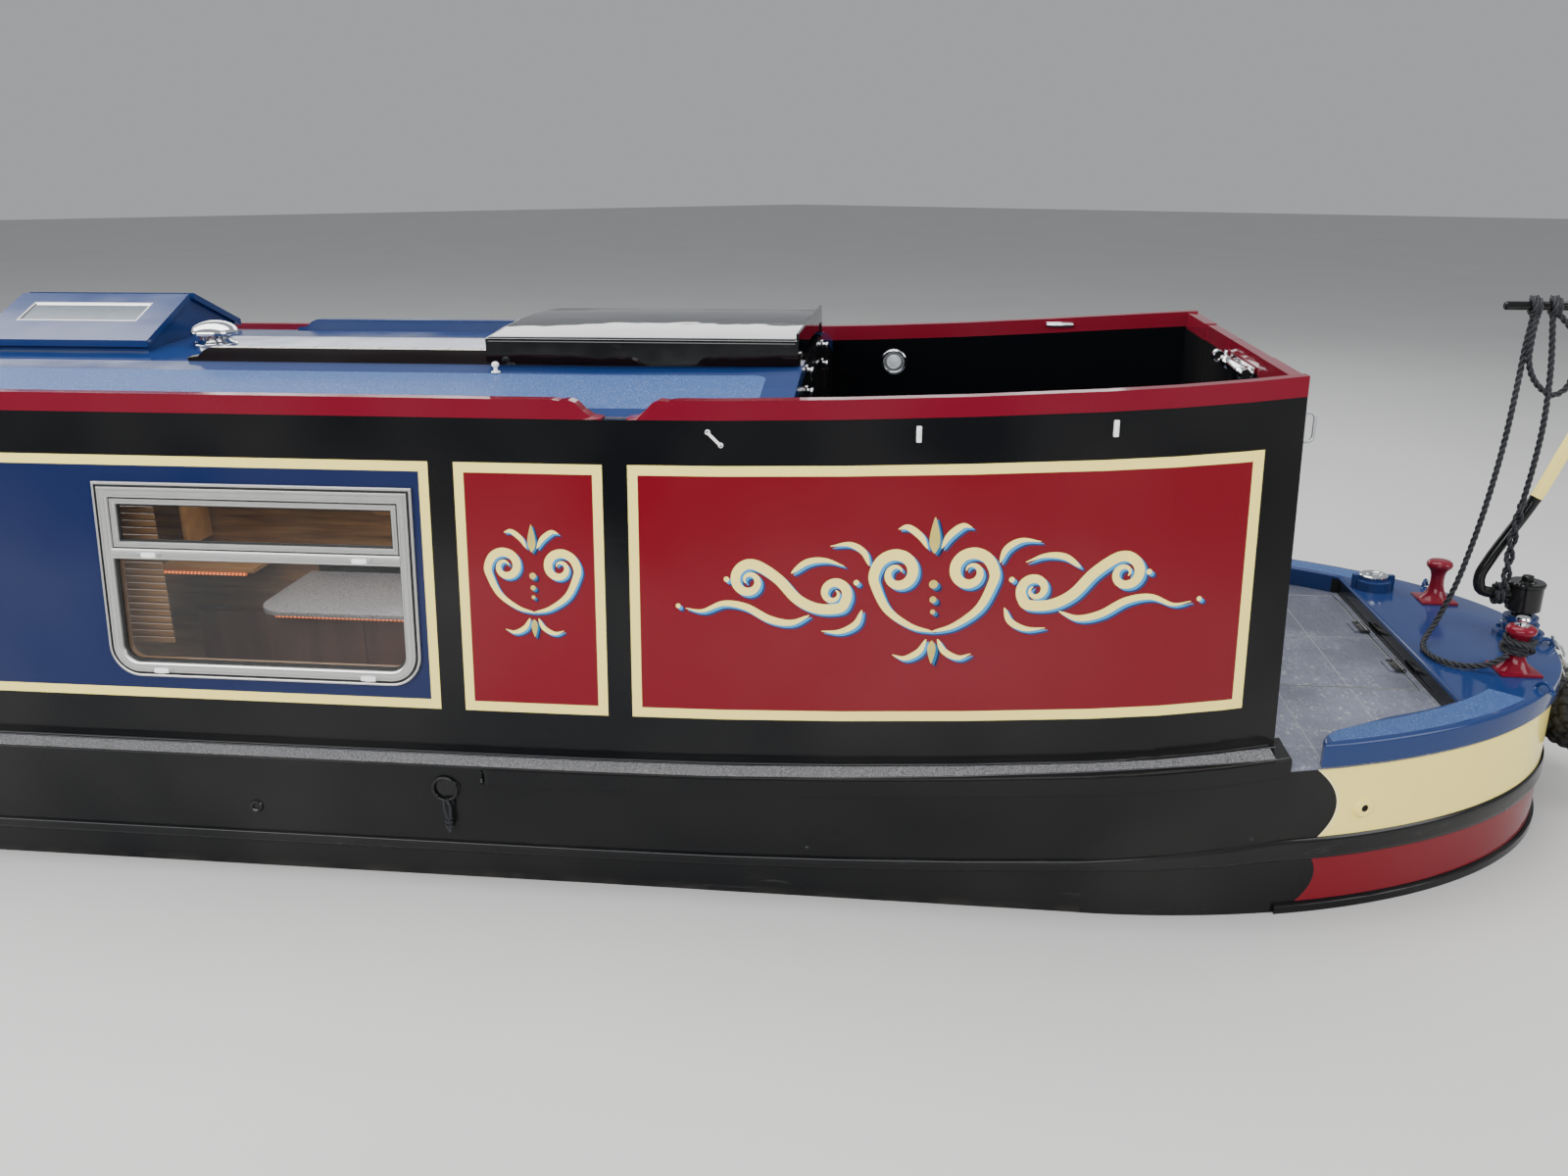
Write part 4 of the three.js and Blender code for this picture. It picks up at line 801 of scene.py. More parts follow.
def makeStudio():
    side = []
    for t in (1 - i / 12 for i in range(13)):
        side.append((boat["bowFrom"] - mix(boat["bowFoot"], boat["bowTop"], 0.66) * t,
                     mix(0.02, 1.00, 1 - t ** 2.0) - 0.02))
    side += [(x, halfAt(x) - 0.03) for x in (0.0, 7.05, 7.3, 7.6, 7.9, 8.2, 8.4, 8.52, 8.6)]
    side.append((8.63, 0.0))
    hole = side + [(x, -y) for x, y in reversed(side[1:-1])]
    rim = [Vector((x / 4, y)).normalized() * studio["reach"] for x, y in hole]
    mesh = bpy.data.meshes.new("floor")
    mesh.from_pydata([(x, y, boat["water"]) for x, y in hole + [tuple(p) for p in rim]], [], grid(2, len(hole)))
    paint = Paint("floor_pale")
    tone = paint.blend(paint.noise(0.8, 3.0), (0.50, 0.50, 0.49), (0.56, 0.56, 0.55))
    mesh.materials.append(paint.finish(tone, 0.75))
    link("floor", mesh)

    world = bpy.data.worlds.new("studio")
    world.use_nodes = True
    sky = world.node_tree.nodes["Background"]
    sky.inputs[0].default_value, sky.inputs[1].default_value = studio["world"], studio["worldPower"]
    bpy.context.scene.world = world
    for name, (place, aim, (wide, tall), power) in studio["lamps"].items():
        light = bpy.data.lights.new(name, "AREA")
        light.shape = "RECTANGLE"
        light.size, light.size_y, light.energy = wide, tall, power
        lamp = link(name, light)
        lamp.location = place
        lamp.rotation_euler = (Vector(aim) - Vector(place)).to_track_quat("-Z", "Y").to_euler()


makeStudio()
print("studio set")


# Cream lines round the panels, and scroll work of the builder's own design inside the red ones
def onSide(side, x, z, lift):
    return (x, side * (cabinOuter(x, z) + lift), z)


def panelLines(side, label):
    parts = []
    edge = panels["border"]
    for fore, after, _ in panels["places"]:
        cuts = {fore, fore + edge, after - edge, after}
        cuts = sorted(cuts | {x for x in (*boat["sheer"], -1.0, 3.0) if fore + edge < x < after - edge})
        for a, b in zip(cuts, cuts[1:]):
            upright = b <= fore + edge or a >= after - edge
            for span in [None] if upright else [(0.0, edge, "low"), (-edge, 0.0, "high")]:
                corners = []
                for x, top in ((a, 0), (b, 0), (b, 1), (a, 1)):
                    z = panelEdge(x, span[2]) + span[top] if span else panelEdge(x, ("low", "high")[top])
                    corners.append(onSide(side, x, z, panels["lift"]))
                parts.append((corners, [(0, 1, 2, 3)]))
    makePiece(f"panel_lines_{label}", parts, "cream", smooth=False)


def brushLine(points, count=9):
    line = []
    given = [[2 * a - b for a, b in zip(*points[:2])], *points, [2 * a - b for a, b in zip(*points[:-3:-1])]]
    for four in zip(given, given[1:], given[2:], given[3:]):
        for t in (i / count for i in range(count)):
            line.append([0.5 * (2 * q + (r - p) * t + (2 * p - 5 * q + 4 * r - v) * t * t
                                + (3 * q - p - 3 * r + v) * t ** 3) for p, q, r, v in zip(*four)])
    return [*line, points[-1]]


def volute(x, z, outer, inner, start, turns, count=14):
    made = []
    for i in range(count + 1):
        r = mix(outer, inner, (i / count) ** 0.8)
        a = math.radians(start + 360 * turns * i / count)
        made.append((x + r * math.cos(a), z + r * math.sin(a)))
    return made


def brushed(line, wide, peak):
    # a brush stroke: fine at its ends and full where the brush was pressed
    count = len(line) - 1
    pairs = []
    for i, (x, z) in enumerate(line):
        (ax, az), (bx, bz) = line[max(0, i - 1)], line[min(count, i + 1)]
        run = math.hypot(bx - ax, bz - az) or 1.0
        press = math.sin(math.pi * (i / count) ** (math.log(0.5) / math.log(peak)))
        half = wide * (0.10 + 0.90 * max(0.0, press)) / 2
        dx, dz = (bz - az) / run * half, (bx - ax) / run * half
        pairs += [(x - dx, z + dz), (x + dx, z - dz)]
    return pairs


# Half of a scroll of the builder's own: [points, width, where it is fullest], then drops as [x, z, radius]
scroll = {
    "heart": [([(0.0, -0.135), (0.07, -0.115), (0.145, -0.06), (0.185, 0.02),
                *volute(0.115, 0.058, 0.074, 0.014, 0, 1.45)], 0.036, 0.36),
              ([(0.0, 0.120), (0.0, 0.165), (0.0, 0.235)], 0.034, 0.45),
              ([(0.022, 0.135), (0.045, 0.175), (0.085, 0.205), (0.115, 0.200)], 0.022, 0.45),
              ([(0.018, -0.160), (0.040, -0.200), (0.085, -0.222), (0.125, -0.210)], 0.020, 0.40),
              ([(0.0, -0.165), (0.0, -0.200), (0.0, -0.240)], 0.026, 0.40)],
    "arms": [([*reversed(volute(0.318, -0.004, 0.052, 0.012, 250, -1.35)), (0.37, -0.052), (0.435, -0.02),
               (0.495, 0.045), (0.555, 0.088), *volute(0.592, 0.042, 0.055, 0.012, 90, -1.35)], 0.034, 0.50),
             ([(0.395, -0.075), (0.455, -0.098), (0.525, -0.085), (0.60, -0.045), (0.675, -0.035),
               (0.745, -0.062), (0.80, -0.055)], 0.024, 0.38),
             ([(0.455, 0.065), (0.405, 0.10), (0.345, 0.105), (0.285, 0.085)], 0.020, 0.35),
             ([(0.225, -0.060), (0.245, -0.105), (0.295, -0.130), (0.355, -0.128)], 0.020, 0.40),
             ([(0.205, 0.085), (0.225, 0.130), (0.270, 0.155), (0.330, 0.150)], 0.020, 0.40)],
    "heartDrops": [(0.0, 0.02, 0.014), (0.0, -0.03, 0.011), (0.0, -0.07, 0.008)],
    "armDrops": [(0.245, 0.030, 0.009), (0.665, 0.045, 0.009), (0.825, -0.048, 0.008)],
    "layers": [("navy", 0.0007, 0.014, -0.012), ("skyBlue", 0.0009, 0.008, -0.007), ("cream", 0.0012, 0.0, 0.0)],
    "big": {"middle": 6.603, "height": 1.640, "scale": 0.88, "parts": ["heart", "arms"]},
    "small": {"middle": 5.450, "height": 1.640, "scale": 0.70, "parts": ["heart"]},
}


def paintScroll(side, label, which):
    place = scroll[which]

    def on(x, z, lift):
        px = place["middle"] + x * place["scale"]
        slant = max(0.0, 0.052 * (px - 6.1)) if which == "big" else 0.018
        return onSide(side, px, place["height"] + z * place["scale"] + slant, lift)

    for finish, lift, dx, dz in scroll["layers"]:
        parts = []
        for name in place["parts"]:
            for points, wide, peak in scroll[name]:
                for way in (1, -1):
                    pairs = brushed([(x * way, z) for x, z in brushLine(points)], wide, peak)
                    parts.append(([on(x + dx, z + dz, lift) for x, z in pairs], grid(len(pairs) // 2, 2, False)))
            for x, z, r in scroll[name.rstrip("s") + "Drops"]:
                for way in (1, -1):
                    ring = [on(x * way + dx + r * math.cos(a), z + dz + r * math.sin(a), lift)
                            for a in turnsOf(16)]
                    parts.append((ring, [tuple(range(16))]))
        makePiece(f"scroll_{which}_{finish}_{label}", parts, finish, smooth=False)


for side, label in sides:
    panelLines(side, label)
    paintScroll(side, label, "big")
    paintScroll(side, label, "small")
print("panels lined")


# Tiller: swan neck, drum and pipe, with the hitches and the lashed strand on it
tiller = {
    "neck": [(8.560, 0, 1.420), (8.480, 0, 1.420), (8.436, 0, 1.432), (8.426, 0, 1.475), (8.450, 0, 1.540),
             (8.554, 0, 1.743), (8.624, 0, 1.924), (8.740, 0, 2.225), (8.796, 0, 2.330), (8.770, 0, 2.362),
             (8.700, 0, 2.365)],
    "radius": 0.020, "creamFrom": 1.743, "creamTo": 2.300, "pipeFrom": 8.357, "pipeTo": 8.790, "pipeZ": 2.365,
    "pipeRadius": 0.014, "stock": 8.580, "drum": (1.363, 1.463, 0.058),
}


def makeTiller():
    line = curveThrough(tiller["neck"], 0.012)
    wide = tiller["radius"]
    cream = [tiller["creamFrom"] < p.z < tiller["creamTo"] and p.x > 8.5 for p in line]
    points, faces = sweep(line, 24, lambda i, a: wide * (1.0 if cream[i] else 0.93))
    shade = [1 if cream[min(f[0] // 24, len(line) - 1)] and len(f) == 4 else 0 for f in faces]
    neck = makePiece("tiller_neck", [(points, faces)], ["black", "cream"], "steering",
                     faceFinish=shade)
    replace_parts(neck, "tiller")
    low, high, r = tiller["drum"]
    x, z, q, start, end = (tiller[key] for key in ("stock", "pipeZ", "pipeRadius", "pipeFrom", "pipeTo"))
    drum = [(0, low), (r - 0.010, low), (r - 0.004, low + 0.004), (r - 0.004, high - 0.016), (r, high - 0.013),
            (r, high - 0.004), (r - 0.004, high), (0.030, high), (0.028, high + 0.003), (0, high + 0.003)]
    washer = [(0, high), (0.026, high), (0.026, high + 0.004), (0, high + 0.004)]
    nut = [(0, high), (0.020, high + 0.004), (0.020, high + 0.018), (0.015, high + 0.021), (0, high + 0.021)]
    parts = [turned(profile, (x, 0, 0), facets) for profile, facets in ((drum, 56), (washer, 32), (nut, 6))]
    parts.append(block((x - 0.064, -0.011, low + 0.020), (x - 0.040, 0.011, high - 0.022), 0.003))
    makePiece("tiller_drum", parts, "black", "steering")
    pipe = [(0, start), (q - 0.004, start), (q, start + 0.004), (q, 8.585), (q + 0.003, 8.590),
            (q + 0.003, 8.640), (q, 8.645), (q, end - 0.003), (q - 0.003, end), (0, end)]
    makePiece("tiller_pipe", [turned(pipe, (0, 0, z), 28, "x")], "black", "steering")
    radius = mooringLine["radius"]

    def strand(name):
        ropePiece(name, [laidRope(curveThrough(mooringLine[name], 0.006), radius)], "steering")

    def hitch(name, x, z, half, around, step, start, thick):
        coil = [spoke((x - half + 2 * half * i / 60, 0, z), around, start + step * i, "x") for i in range(61)]
        ropePiece(name, [laidRope(evenLine(coil, 0.005), thick)], "steering")

    strand("lashed_strand")
    # below, the strand is doubled round itself and hitched to the neck
    lower = curveThrough(mooringLine["lashing"], 0.004)
    for number, way in ((2, 0.0), (1, math.pi)):
        pair = [spoke(p, 0.0082, way + i * 0.20) for i, p in enumerate(lower)]
        ropePiece(f"lashing_{number}", [laidRope(pair, radius * 0.86)], "steering")
    hitch("neck_hitch", **mooringLine["neckHitch"])
    strand("hanging_bight")
    for i, x in enumerate(mooringLine["hitches"]):
        hitch(f"hitch_{i + 1}", x, z, **mooringLine["pipeHitch"])


makeTiller()
print("tiller made")


# Dollies with the line's turns, and the rudder bearing's gland
dolly = {
    "x": 8.430, "y": 0.340, "z": 1.2753, "foot": 0.062,
    "post": [(0, 0.002), (0.056, 0.004), (0.050, 0.010), (0.044, 0.017), (0.034, 0.028), (0.028, 0.042),
             (0.024, 0.058), (0.0225, 0.075), (0.0235, 0.094), (0.027, 0.108), (0.034, 0.119), (0.0415, 0.126),
             (0.044, 0.131), (0.044, 0.139), (0.041, 0.145), (0.034, 0.150), (0.020, 0.152), (0, 0.152)],
    "pin": [(0, 0.150), (0.022, 0.150), (0.022, 0.154), (0.010, 0.156), (0.010, 0.164), (0.019, 0.166),
            (0.021, 0.172), (0.018, 0.178), (0, 0.180)],
    "bolt": [(0, 0), (0.0085, 0), (0.0085, 0.008), (0.0065, 0.010), (0, 0.010)],
    "ring": [(0.047, 0.0), (0.060, 0.0), (0.060, 0.012), (0.056, 0.015), (0.047, 0.015), (0.047, 0.0)],
    "collar": [(0.045, 0), (0.054, 0), (0.054, 0.010), (0.045, 0.010), (0.045, 0)],
    # the line's turns: how many, their radius and the line's radius
    "coil": (3.1, 0.0345, 0.0105), "coilLow": 1.338, "coilHigh": 1.386,
    "over": (2.2, 0.0425, 0.0100), "overAt": 1.361,
}


def makeDollies():
    x, z, foot = dolly["x"], dolly["z"], dolly["foot"]
    for side, label in sides:
        y = side * dolly["y"]
        parts = [block((x - foot, y - foot, z), (x + foot, y + foot, z + 0.008), 0.0025),
                 turned(dolly["post"], (x, y, z), 48)]
        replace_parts(makePiece(f"dolly_post_{label}", parts, "rail"), f"dolly_{label}")
    y = -dolly["y"]
    makePiece("dolly_pin", [turned(dolly["pin"], (x, y, z), 28)], "chrome")
    parts, (turns, around, thick) = [], dolly["coil"]
    coil = []
    for share in (i / 219 for i in range(220)):
        a = -2 * math.pi * turns * share + 2.3
        up = mix(dolly["coilLow"], dolly["coilHigh"], share) + 0.004 * math.sin(a)
        coil.append(spoke((x, y, up), around + 0.003 * math.sin(9 * a / 4), a))
    parts.append(laidRope(evenLine(coil, 0.005), thick))
    turns, around, thick = dolly["over"]
    coil = []
    for share in (i / 199 for i in range(200)):
        a = 2 * math.pi * turns * share + 0.6
        up = dolly["overAt"] + 0.017 * math.sin(a * 1.37)
        coil.append(spoke((x, y, up), around + 0.002 * math.cos(2.3 * a), a))
    parts.append(laidRope(evenLine(coil, 0.005), thick))
    ropePiece("line_turns", parts)
    stock = tiller["stock"]
    parts = [turned(dolly["bolt"], spoke((stock, 0, 1.2893), 0.063, a), 6) for a in turnsOf(6, start=0.3)]
    parts += [turned(dolly[key], (stock, 0, at), 40) for key, at in (("ring", 1.306), ("collar", 1.3315))]
    makePiece("bearing_gland", parts, "blue")


makeDollies()
print("dollies made")


# Stern: a smooth counter skin, the D-shaped guard and the raised capping with rolled edges
stern = {
    "from": 7.6003, "out": 0.0006, "deck": 1.1926, "low": 0.7273, "foot": 0.772, "ring": 0.011,
    "capLow": 1.2053, "capTop": 1.275, "armFrom": 7.682, "step": 8.170, "roll": 0.011,
    "inner": [(7.6885, 0.9560), (7.690, 0.930), (7.706, 0.890), (7.745, 0.846), (7.800, 0.813), (7.862, 0.773)],
    "armWide": 0.120, "bore": 0.032, "skinOut": 0.0008,
    "guard": 0.268, "guardOut": 0.011, "guardRise": 0.095, "guardDeep": (0.036, 0.068), "guardWidens": (7.0, 7.7),
    "eyes": [(8.622, 0.104, 0), (8.452, 0.500, 55)], "eyeWide": 0.024,
    "guardShape": [(0.0, 0.0006), (0.0, 0.0030), (0.05, 0.0070), (0.16, 0.0098), (0.32, 0.0110),
                   (0.68, 0.0110), (0.84, 0.0098), (0.95, 0.0070), (1.0, 0.0030), (1.0, 0.0006)],
}


def ellipse(angle, out=0.0):
    x = boat["sternFrom"] + (boat["sternLong"] + out) * math.sin(angle)
    return x, (boat["half"] + out) * math.cos(angle)


def sternAngles(start, count):
    first = math.asin((start - boat["sternFrom"]) / boat["sternLong"])
    return [mix(first, math.pi - first, i / count) for i in range(count + 1)]


def makeCounter():
    out, ring, foot = stern["out"], stern["ring"], stern["foot"]
    levels = [(stern["deck"], out), (1.10, out), (1.0, out), (0.90, out), (0.80, out), (foot + 0.002, out),
              (foot + 0.0005, ring - 0.004), (foot - 0.004, ring + out), (stern["low"] + 0.006, ring + out),
              (stern["low"], ring - 0.005)]
    points = []
    for angle in sternAngles(stern["from"], 96):
        for z, off in levels:
            x, y = ellipse(angle, off)
            points.append((x, -y, z))
    makePiece("counter_skin", [(points, grid(97, len(levels), False))], "counter")


def prism(outline, holes, low, high, roll):
    # a flat plate with its upper edge rolled over; outline and holes run round in order
    count = len(outline)
    flat = [Vector(p) for p in outline]
    inward = []
    for i, p in enumerate(flat):
        before, after = (p - flat[i - 1]).normalized(), (flat[(i + 1) % count] - p).normalized()
        n = Vector((-before.y - after.y, before.x + after.x))
        inward.append(n.normalized() * min(1.6, 1 / max(0.3, n.length / 2)))
    points = [(p.x, p.y, low) for p in flat]
    for a in map(math.radians, (0, 22, 45, 68, 90)):
        points += [(p.x + n.x * roll * (1 - math.cos(a)), p.y + n.y * roll * (1 - math.cos(a)),
                    high - roll * (1 - math.sin(a))) for p, n in zip(flat, inward)]
    faces = grid(6, count)
    tops, bottoms = [range(5 * count, 6 * count)], [range(count)]
    for hole in holes:
        start, n = len(points), len(hole)
        points += [(x, y, high) for x, y in hole] + [(x, y, low) for x, y in hole]
        faces += [(start + i, start + n + i, start + n + (i + 1) % n, start + (i + 1) % n) for i in range(n)]
        tops.append(range(start, start + n))
        bottoms.append(range(start + n, start + 2 * n))
    for group, up in ((tops, 1), (bottoms, -1)):
        made = bmesh.new()
        verts = {i: made.verts.new(points[i]) for loop in group for i in loop}
        back = {v: i for i, v in verts.items()}
        edges = [made.edges.new((verts[a], verts[b]))
                 for loop in group for a, b in zip(loop, [*loop[1:], loop[0]])]
        bmesh.ops.triangle_fill(made, use_beauty=True, use_dissolve=False, edges=edges, normal=(0, 0, up))
        faces += [tuple(back[v] for v in f.verts) for f in made.faces]
        made.free()
    return points, faces


def cappingOutline():
    outer = [ellipse(a, stern["guardOut"] + 0.0006) for a in sternAngles(stern["armFrom"], 128)]
    nose = curveThrough([(x, y, 0) for x, y in stern["inner"]], 0.012)
    arm = [ellipse(a, -stern["armWide"]) for a in sternAngles(8.00, 60)]
    arm = [(x, y) for x, y in arm if x < stern["step"] - 0.01 and y > 0]
    (ax, ay), (bx, by) = arm[-2:]
    arm.append((stern["step"], by + (by - ay) / (bx - ax) * (stern["step"] - bx)))
    half = [(p.x, p.y) for p in nose[1:]] + arm
    return [(x, -y) for x, y in outer] + half + [(x, -y) for x, y in reversed(half)]


def makeCapping():
    stock, top, wide = tiller["stock"], stern["capTop"], stern["eyeWide"]
    bore = [(stock + stern["bore"] * math.cos(a), stern["bore"] * math.sin(a)) for a in turnsOf(32)]
    parts = [prism(cappingOutline(), [bore], stern["capLow"], top, stern["roll"])]
    for x, y, turn in stern["eyes"]:
        for side in (1, -1):
            along = spoke((0, 0, 0), wide, math.radians(turn * side))
            arch = [Vector((x, side * y, top + wide * math.sin(a))) + along * math.cos(a)
                    for a in (i * math.pi / 12 for i in range(13))]
            feet = [(p.x, p.y, top) for p in (arch[0], arch[-1])]
            parts.append(tube([(*feet[0][:2], top - 0.004), *arch, (*feet[1][:2], top - 0.004)], 0.006, 12))
            parts += [turned([(0.012, 0), (0.0095, 0.0025), (0.0065, 0.005)], foot, 20) for foot in feet]
    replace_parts(makePiece("capping", parts, "capping"), "stern_capping")


makeCounter()
makeCapping()


def hullPoint(x, z):
    # on the hull's skin at a height
    t = bowShare(x)
    full = 0.5 * (1 - t ** 1.8) + 0.5 * (1 - t * t * (3 - 2 * t))
    narrow = 0.040 * (1 - clamp((x - 5.600) / 2.0))
    foot = (x, halfAt(x) - narrow)
    if t > 0:
        foot = (boat["bowFrom"] - boat["bowFoot"] * t, mix(boat["nose"], 0.990, full))
    k = (z - boat["keel"]) / (hullTop(x) - boat["keel"])
    return Vector((mix(foot[0], x, k), mix(foot[1], halfAt(x), k), z))


def sideStations():
    bow = [boat["bowFrom"] - boat["bowTop"] * 0.97 * (1 - i / 36) for i in range(37)]
    return bow + [-4.0, -1.0, 2.0, 5.0, *boat["sheer"][:-1]]


def guardSpan(x):
    start, end = stern["guardWidens"]
    t = clamp((x - start) / (end - start))
    middle = boat["gunwale"] + rise(x, stern["guardRise"]) - stern["guard"]
    half = mix(*stern["guardDeep"], t * t * (3 - 2 * t)) / 2
    return middle - half, middle + half


def makeGuards():
    spans = [[hullPoint(x, z) for z in guardSpan(x)] for x in [-8.7, *sideStations()]]
    for x, y in (ellipse(a) for a in sternAngles(boat["sheer"][-1], 96)[:49]):
        spans.append([Vector((x, y, z)) for z in guardSpan(x)])
    rows = []
    for i, (lower, upper) in enumerate(spans):
        run = (spans[min(len(spans) - 1, i + 1)][0] - spans[max(0, i - 1)][0]).normalized()
        out = Vector((-run.y, run.x, 0)).normalized()
        if out.y < 0 and abs(out.x) < 0.9:
            out = -out
        rows.append([lower.lerp(upper, share) + out * off for share, off in stern["guardShape"]])
    faces, ends = grid(len(rows), len(rows[0])), [end[::-1] for end in caps(len(rows), len(rows[0]))]
    parts = []
    for side in (1, -1):
        points = [Vector((p.x, p.y * side, p.z)) for row in rows for p in row]
        parts.append((points, (faces if side < 0 else flip(faces)) + ends))
    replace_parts(makePiece("rubbing_guard", parts, "guard"), "second_guard")


def hullSkin(name, finish, stations, low, steps):
    # the hull's sides on their smooth curves, over the plating's flats
    parts = []
    for side, _ in sides:
        points = []
        for x in stations:
            for k in range(steps + 1):
                p = hullPoint(x, mix(hullTop(x) - 0.001, low, k / steps))
                points.append((p.x, side * (p.y + stern["skinOut"]), p.z))
        parts.append((points, grid(len(stations), steps + 1, False)))
    makePiece(name, parts, finish)


def makeGunwaleBeads():
    # a rounded bar along the gunwale's outer edge and a weld bead at the cabin's foot
    stations = sideStations() + [mix(boat["sternFrom"], 7.596, i / 14) for i in range(1, 15)]
    outer = [(x, halfAt(x) - 0.0035, hullTop(x) - 0.0030) for x in stations]
    foot = [(x, cabinOuter(x, hullTop(x)) + 0.0025, hullTop(x) + 0.0020) for x in stations
            if boat["front"] < x < boat["aft"]]
    parts = [tube([(x, y * side, z) for x, y, z in line], radius, 12)
             for line, radius in ((outer, 0.0058), (foot, 0.0052)) for side, _ in sides]
    makePiece("gunwale_beads", parts, "black")


makeGuards()
sternFirst = sternAngles(stern["from"], 1)[0]
bowLong = boat["bowTop"] * 0.985
hullSkin("after_skin", "counter", [ellipse(sternFirst * i / 18)[0] for i in range(19)], 0.7285, 6)
hullSkin("bow_skin", "hull", [boat["bowFrom"] - bowLong * (1 - i / 40) for i in range(41)], 0.0135, 12)
makeGunwaleBeads()
print("stern skinned")


# Woven rope fenders and the galvanised chains that carry the stern one
fenders = {
    "stern": {"centre": (8.7698, 0, 1.020), "axis": "y", "cells": (26, 22),
              "profile": [(0, -0.230), (0.060, -0.222), (0.098, -0.170), (0.114, -0.090), (0.117, 0.0),
                          (0.114, 0.090), (0.098, 0.170), (0.060, 0.222), (0, 0.230)]},
    "bow": {"centre": (-8.7956, 0, 1.350), "axis": "z", "cells": (22, 18),
            "profile": [(0, -0.190), (0.042, -0.185), (0.070, -0.140), (0.086, -0.060), (0.0908, 0.020),
                        (0.084, 0.100), (0.064, 0.160), (0.032, 0.188), (0, 0.190)]},
}
chain = {"from": (8.646, 0.104, 1.302), "to": (8.752, 0.100, 1.108), "wire": 0.0040, "long": 0.024,
         "wide": 0.0120}


def wovenRoll(profile, centre, axis, cells):
    # strands plaited on the slant, over and under, standing out of the roll
    around, along = cells[0] * 6, cells[1] * 6
    outline = evenLine([(r, z, 0) for r, z in profile], 0.0005)
    points = []
    for i in range(along + 1):
        p = outline[round(i * (len(outline) - 1) / along)]
        for k, angle in enumerate(turnsOf(around)):
            u, v = cells[0] * k / around, cells[1] * i / along
            a, b = (u + v) / 2, (u - v) / 2
            over = (math.floor(a) + math.floor(b)) % 2
            across, ahead = (b % 1, a % 1) if over else (a % 1, b % 1)
            strand = math.sin(math.pi * across) ** 0.5
            twist = 0.10 * math.sin(2 * math.pi * (3 * ahead + across))
            up = 0.011 * (strand * (0.62 + 0.38 * math.sin(math.pi * ahead)) + twist * strand - 0.9)
            points.append(Vector(centre) + onAxis(axis, max(0.0008, p.x + up * clamp(p.x / 0.03)), angle, p.y))
    return points, grid(along + 1, around) + caps(along + 1, around)


def chainLinks(side):
    start, end = (Vector((x, side * y, z)) for x, y, z in (chain["from"], chain["to"]))
    long, wide = chain["long"], chain["wide"]
    run = (end - start).normalized()
    upright = run.cross(Vector((0, 1, 0))).normalized()
    count = max(2, round((end - start).length / (2 * (long - chain["wire"]))))
    parts = []
    for i in range(count):
        flat = upright if i % 2 else run.cross(upright)
        parts.append(closedTube([start.lerp(end, (i + 0.5) / count)
                                 + run * (math.copysign(long - wide, math.cos(a)) + wide * math.cos(a))
                                 + flat * (wide * math.sin(a)) for a in turnsOf(28)], chain["wire"]))
    return parts


def makeFenders():
    for name, one in fenders.items():
        roll = ropePiece(f"{name}_woven_fender", [wovenRoll(**one)])
        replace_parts(roll, f"{name}_fender")
    makePiece("fender_chains", chainLinks(-1) + chainLinks(1), "galvanised")


makeFenders()
print("fenders made")


# Windows: an aluminium frame with its hopper, rubber, pane and drain caps, in a pine-lined reveal
windows = {
    "wide": 0.986, "low": 1.325, "high": 1.920, "corner": 0.095, "border": 0.048, "rail": 1.7058,
    "places": [-4.285, -0.485, 4.115],
    # sections as [inwards from the opening, out from the side]
    "frame": [(0.0140, 0.0), (0.0, 0.0004), (0.0, 0.0080), (0.0020, 0.0105), (0.0055, 0.0108), (0.0078, 0.0095),
              (0.0085, 0.0020), (0.0145, 0.0020), (0.0150, 0.0100), (0.0170, 0.0122), (0.0220, 0.0122),
              (0.0228, 0.0108), (0.0242, 0.0108), (0.0250, 0.0122), (0.0370, 0.0120), (0.0378, 0.0106),
              (0.0390, 0.0106), (0.0398, 0.0118), (0.0445, 0.0100), (0.0468, 0.0060), (0.0480, -0.0010),
              (0.0480, -0.0150), (0.0175, -0.0165), (0.0150, -0.0165)],
    "bar": [(-0.018, -0.012), (-0.018, 0.006), (-0.015, 0.0105), (-0.010, 0.0112), (-0.0092, 0.0100),
            (-0.0080, 0.0100), (-0.0072, 0.0112), (0.010, 0.0112), (0.0145, 0.0100), (0.016, 0.006),
            (0.016, -0.012)],
    "hopper": [(0.0012, -0.012), (0.0012, 0.0040), (0.0030, 0.0070), (0.0080, 0.0072), (0.0088, 0.0060),
               (0.0100, 0.0060), (0.0108, 0.0072), (0.0165, 0.0065), (0.0190, 0.0040), (0.0200, -0.0010),
               (0.0200, -0.012)],
    "seal": [(0.0195, -0.0030), (0.0235, -0.0032), (0.0235, -0.0100), (0.0195, -0.0100)],
    "rubber": [(0.047, -0.003), (0.052, -0.0045), (0.052, -0.011), (0.047, -0.011)],
    "outer": [(0.0090, 0.0022), (0.0090, 0.0050), (0.0140, 0.0050), (0.0140, 0.0022)],
    "reveal": [(0.018, -0.018), (0.040, -0.018), (0.046, -0.0395), (0.016, -0.0395)],
    "caps": [(0.163, 1.7045), (0.819, 1.7045), (0.166, 1.3480), (0.822, 1.3480)],
}


def windowLoop(inset, top=None):
    corner = max(0.004, windows["corner"] - inset)
    x0, x1 = inset, windows["wide"] - inset
    z0, z1 = windows["low"] + inset, top or windows["high"] - inset
    loop = []
    for cx, start in ((x0 + corner, math.pi), (x1 - corner, 1.5 * math.pi)):
        loop += [(cx + corner * math.cos(a), z0 + corner + corner * math.sin(a))
                 for a in (start + i * math.pi / 20 for i in range(11))]
    return [*loop, (x1, z1), (x0, z1)]


